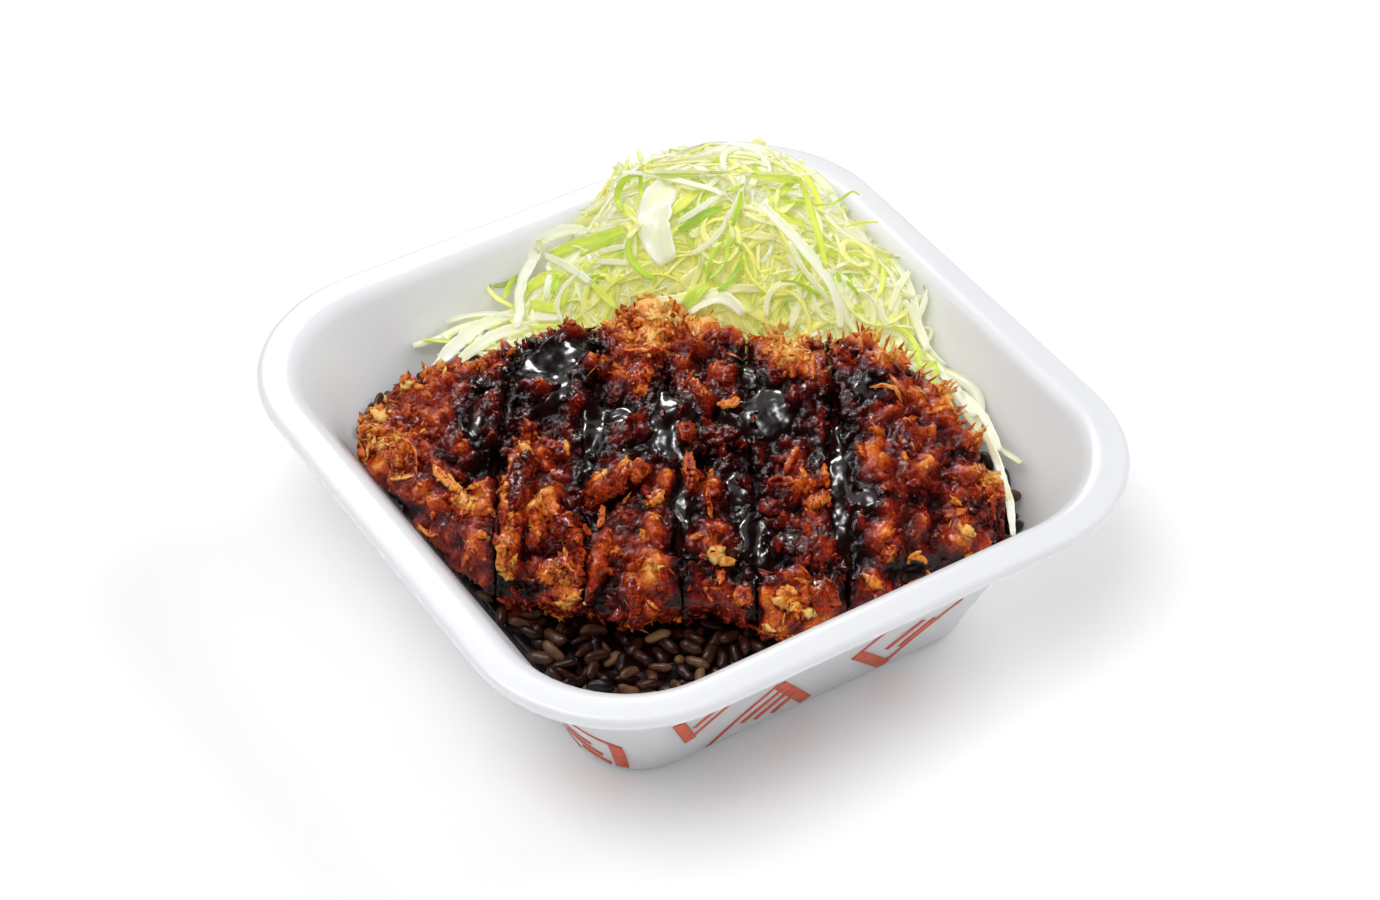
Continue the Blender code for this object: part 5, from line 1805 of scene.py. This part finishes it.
def crust_material():
    """Fried panko soaked in brown sauce: dark red-brown, golden where dry, glossy where wet."""
    mat = new_material("fried_panko_crust")
    coords = add(mat, "ShaderNodeTexCoord")
    tone = mottled(mat, coords, "tone", {"Scale": 1.0 / (0.7 * MM), "Detail": 4.0, "Roughness": 0.7}, 0.8)
    stops = ((0.0, "#0B0303"), (0.2, "#260506"), (0.4, "#641009"), (0.56, "#9E2C10"), (0.72, "#D2601C"),
             (0.88, "#F49A38"), (1.0, "#FFC670"))
    colour = add(mat, "ShaderNodeValToRGB", {"stops": stops}, {"Fac": (tone, "Value")})
    wet = add(mat, "ShaderNodeAttribute", {"attribute_name": "wet"})
    gloss = add(mat, "ShaderNodeMapRange", {"From Min": 0.0, "From Max": 0.7, "To Min": 0.30, "To Max": 0.09},
                {"Value": (wet, "Fac")})
    grit = add(mat, "ShaderNodeTexNoise", {"Scale": 1.0 / (0.5 * MM), "Detail": 3.0, "Roughness": 0.75},
               {"Vector": (coords, "Object")})
    bump = add(mat, "ShaderNodeBump", {"Strength": 1.0, "Distance": 0.2 * MM}, {"Height": (grit, "Fac")})
    shader = add(mat, "ShaderNodeBsdfPrincipled",
                 {"IOR": 1.45, "Coat Weight": 0.35, "Coat Roughness": 0.1, "Subsurface Weight": 0.3,
                  "Subsurface Scale": 0.9 * MM, "Subsurface Radius": (1.0, 0.4, 0.15)},
                 {"Base Color": (colour, "Color"), "Roughness": (gloss, "Result"),
                  "Normal": (bump, "Normal")})
    return finish_material(mat, shader)


def sauce_material():
    """Thick brown cutlet sauce: nearly black where deep, red-brown where thin, mirror glossy."""
    mat = new_material("thick_brown_sauce")
    depth = add(mat, "ShaderNodeAttribute", {"attribute_name": "depth"})
    stops = ((0.1, "#3C0E07"), (0.5, "#200905"), (0.95, "#120605"))
    colour = add(mat, "ShaderNodeValToRGB", {"stops": stops}, {"Fac": (depth, "Fac")})
    coords = add(mat, "ShaderNodeTexCoord")
    waves = add(mat, "ShaderNodeTexNoise", {"Scale": 1.0 / (3.5 * MM), "Detail": 1.0},
                {"Vector": (coords, "Object")})
    bump = add(mat, "ShaderNodeBump", {"Strength": 0.5, "Distance": 0.8 * MM}, {"Height": (waves, "Fac")})
    shader = add(mat, "ShaderNodeBsdfPrincipled",
                 {"IOR": 1.5, "Roughness": 0.22, "Coat Weight": 0.3, "Coat Roughness": 0.1},
                 {"Base Color": (colour, "Color"), "Normal": (bump, "Normal")})
    return finish_material(mat, shader)


def rice_material():
    """Cooked rice in brown sauce: brown, moist and slightly clear at the edges."""
    mat = new_material("rice_in_brown_sauce")
    coords = add(mat, "ShaderNodeTexCoord")
    tone = mottled(mat, coords, "tone", {"Scale": 1.0 / (3.0 * MM), "Detail": 3.0}, 0.6)
    stops = ((0.0, "#0C0202"), (0.3, "#280B05"), (0.6, "#482818"), (0.95, "#7C5C40"))
    colour = add(mat, "ShaderNodeValToRGB", {"stops": stops}, {"Fac": (tone, "Value")})
    shader = add(mat, "ShaderNodeBsdfPrincipled",
                 {"IOR": 1.42, "Roughness": 0.4, "Coat Weight": 0.1, "Coat Roughness": 0.12,
                  "Subsurface Weight": 0.4, "Subsurface Scale": 1.0 * MM,
                  "Subsurface Radius": (1.0, 0.5, 0.3)},
                 {"Base Color": (colour, "Color")})
    return finish_material(mat, shader)


def cabbage_material():
    """Fresh shredded cabbage: thin, moist and slightly clear, white to yellow-green, with a faint painted
    glow.
    """
    mat = new_material("fresh_cabbage_shreds")
    coords = add(mat, "ShaderNodeTexCoord")
    green = mottled(mat, coords, "green", {"Scale": 1.0 / (4.0 * MM), "Detail": 3.0}, 0.3)
    stops = ((0.0, "#F2F4E6"), (0.2, "#F0F2C4"), (0.4, "#EEE88C"), (0.52, "#E4E06C"), (0.66, "#CCDC56"),
             (0.82, "#A8CC34"), (1.0, "#84AA1C"))
    colour = add(mat, "ShaderNodeValToRGB", {"stops": stops}, {"Fac": (green, "Value")})
    # The emission is a painted glow that stands in for light shining through the thin shreds.
    shader = add(mat, "ShaderNodeBsdfPrincipled",
                 {"IOR": 1.4, "Roughness": 0.3, "Subsurface Weight": 0.8, "Subsurface Scale": 1.8 * MM,
                  "Subsurface Radius": (1.0, 1.0, 0.6), "Emission Color": srgb("#EBEE9C"),
                  "Emission Strength": 0.15},
                 {"Base Color": (colour, "Color")})
    return finish_material(mat, shader)


# Studio


# Softboxes light the food and the bowl but don't show in wet surfaces: (name, place, size, watts).
SOFTBOXES = (
    ("left_softbox", (-0.60, -0.32, 1.28), (0.7, 0.7), 9.6),
    ("back_left_softbox", (-0.60, 0.60, 0.90), (0.8, 0.6), 3.6),
    ("right_softbox", (0.90, -0.10, 0.90), (0.8, 0.6), 6.6),
    ("front_right_softbox", (0.85, -0.80, 0.60), (0.6, 0.6), 1.5),
    ("overhead_softbox", (0.0, 0.1, 1.1), (0.6, 0.6), 1.7),
)

# Panels only show in wet surfaces, as the bright streaks on the sauce: (name, place, size, watts).
PANELS = (
    ("mirror_panel", (0.34, 0.52, 0.95), (0.80, 0.62), 0.9),
    ("back_glint_panel", (-0.05, 0.34, 1.10), (0.10, 0.24), 3.0),
    ("left_glint_panel", (-0.46, 0.42, 0.92), (0.12, 0.24), 3.0),
    ("low_glint_panel", (0.32, 0.82, 0.62), (0.14, 0.22), 4.5),
)
LIGHT_TARGET = Vector((0.0, 0.0, 0.04))
ROOM_LIGHT = 0.08
FLOOR_GLOW = 0.08
FLOOR_SIZE = 6.0


def make_camera():
    """A camera that sees the bowl as the photo does."""
    data = bpy.data.cameras.new("studio_camera")
    data.lens = CAMERA_LENS
    data.sensor_width = SENSOR_WIDTH
    data.clip_start = 0.01
    camera = bpy.data.objects.new("studio_camera", data)
    bpy.context.scene.collection.objects.link(camera)
    camera.matrix_world = Matrix.Translation(CAMERA_PLACE) @ camera_axes()[0].to_4x4()
    bpy.context.scene.camera = camera


def add_light(name, place, size, watts, lights=True, mirrored=True):
    """A soft area light aimed at the bowl, which may only light things or only be mirrored in them."""
    data = bpy.data.lights.new(name, "AREA")
    data.shape = "RECTANGLE"
    data.size, data.size_y = size
    data.energy = watts
    lamp = bpy.data.objects.new(name, data)
    lamp.visible_diffuse = lights
    lamp.visible_glossy = mirrored
    bpy.context.scene.collection.objects.link(lamp)
    aim = (LIGHT_TARGET - Vector(place)).to_track_quat("-Z", "Y")
    lamp.matrix_world = Matrix.Translation(place) @ aim.to_matrix().to_4x4()


def make_studio():
    """A white room with soft lights and a pale paper floor."""
    world = bpy.data.worlds.new("studio_world")
    world.use_nodes = True
    room = world.node_tree.nodes["Background"].inputs
    room["Color"].default_value = (1.0, 1.0, 1.0, 1.0)
    room["Strength"].default_value = ROOM_LIGHT
    world.cycles_visibility.glossy = False
    bpy.context.scene.world = world
    for softbox in SOFTBOXES:
        add_light(*softbox, mirrored=False)
    for panel in PANELS:
        add_light(*panel, lights=False)
    bpy.ops.object.select_all(action="DESELECT")
    bpy.ops.mesh.primitive_plane_add(size=FLOOR_SIZE, location=(0.0, 0.0, -0.1 * MM))
    floor = bpy.context.object
    floor.name = "studio_floor"
    mat = new_material("white_paper_floor")
    white = srgb("#FFFFFF")
    shader = add(mat, "ShaderNodeBsdfPrincipled", {"Base Color": white, "Roughness": 0.9,
                                                   "Emission Color": white, "Emission Strength": FLOOR_GLOW})
    floor.data.materials.append(finish_material(mat, shader))
    bpy.context.scene.view_settings.view_transform = "Standard"


def dress(obj, mat, slot, *nodes):
    """Gives a finished piece its material, and says what it rides on and which nodes it replaces."""
    obj.data.materials.clear()
    obj.data.materials.append(mat)
    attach(obj, "root")
    if nodes:
        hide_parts(*nodes)


def main():
    """Makes and dresses every piece, then sets up the studio round them."""
    dress(make_bowl(), foam_material(), "white_foam", "bowl")
    dress(make_print(), ink_material(), "white_foam")
    dress(make_rice(), rice_material(), "sauced_rice", "rice")
    dress(make_cabbage(), cabbage_material(), "cabbage_leaf", "cabbage")
    crust = crust_material()
    for index in range(LAST_SLICE + 1):
        dress(make_slice(index), crust, "sauced_crust", f"cutlet_slice_{index + 1}")
    dress(make_sauce(), sauce_material(), "sauced_crust")
    make_studio()
    make_camera()


main()
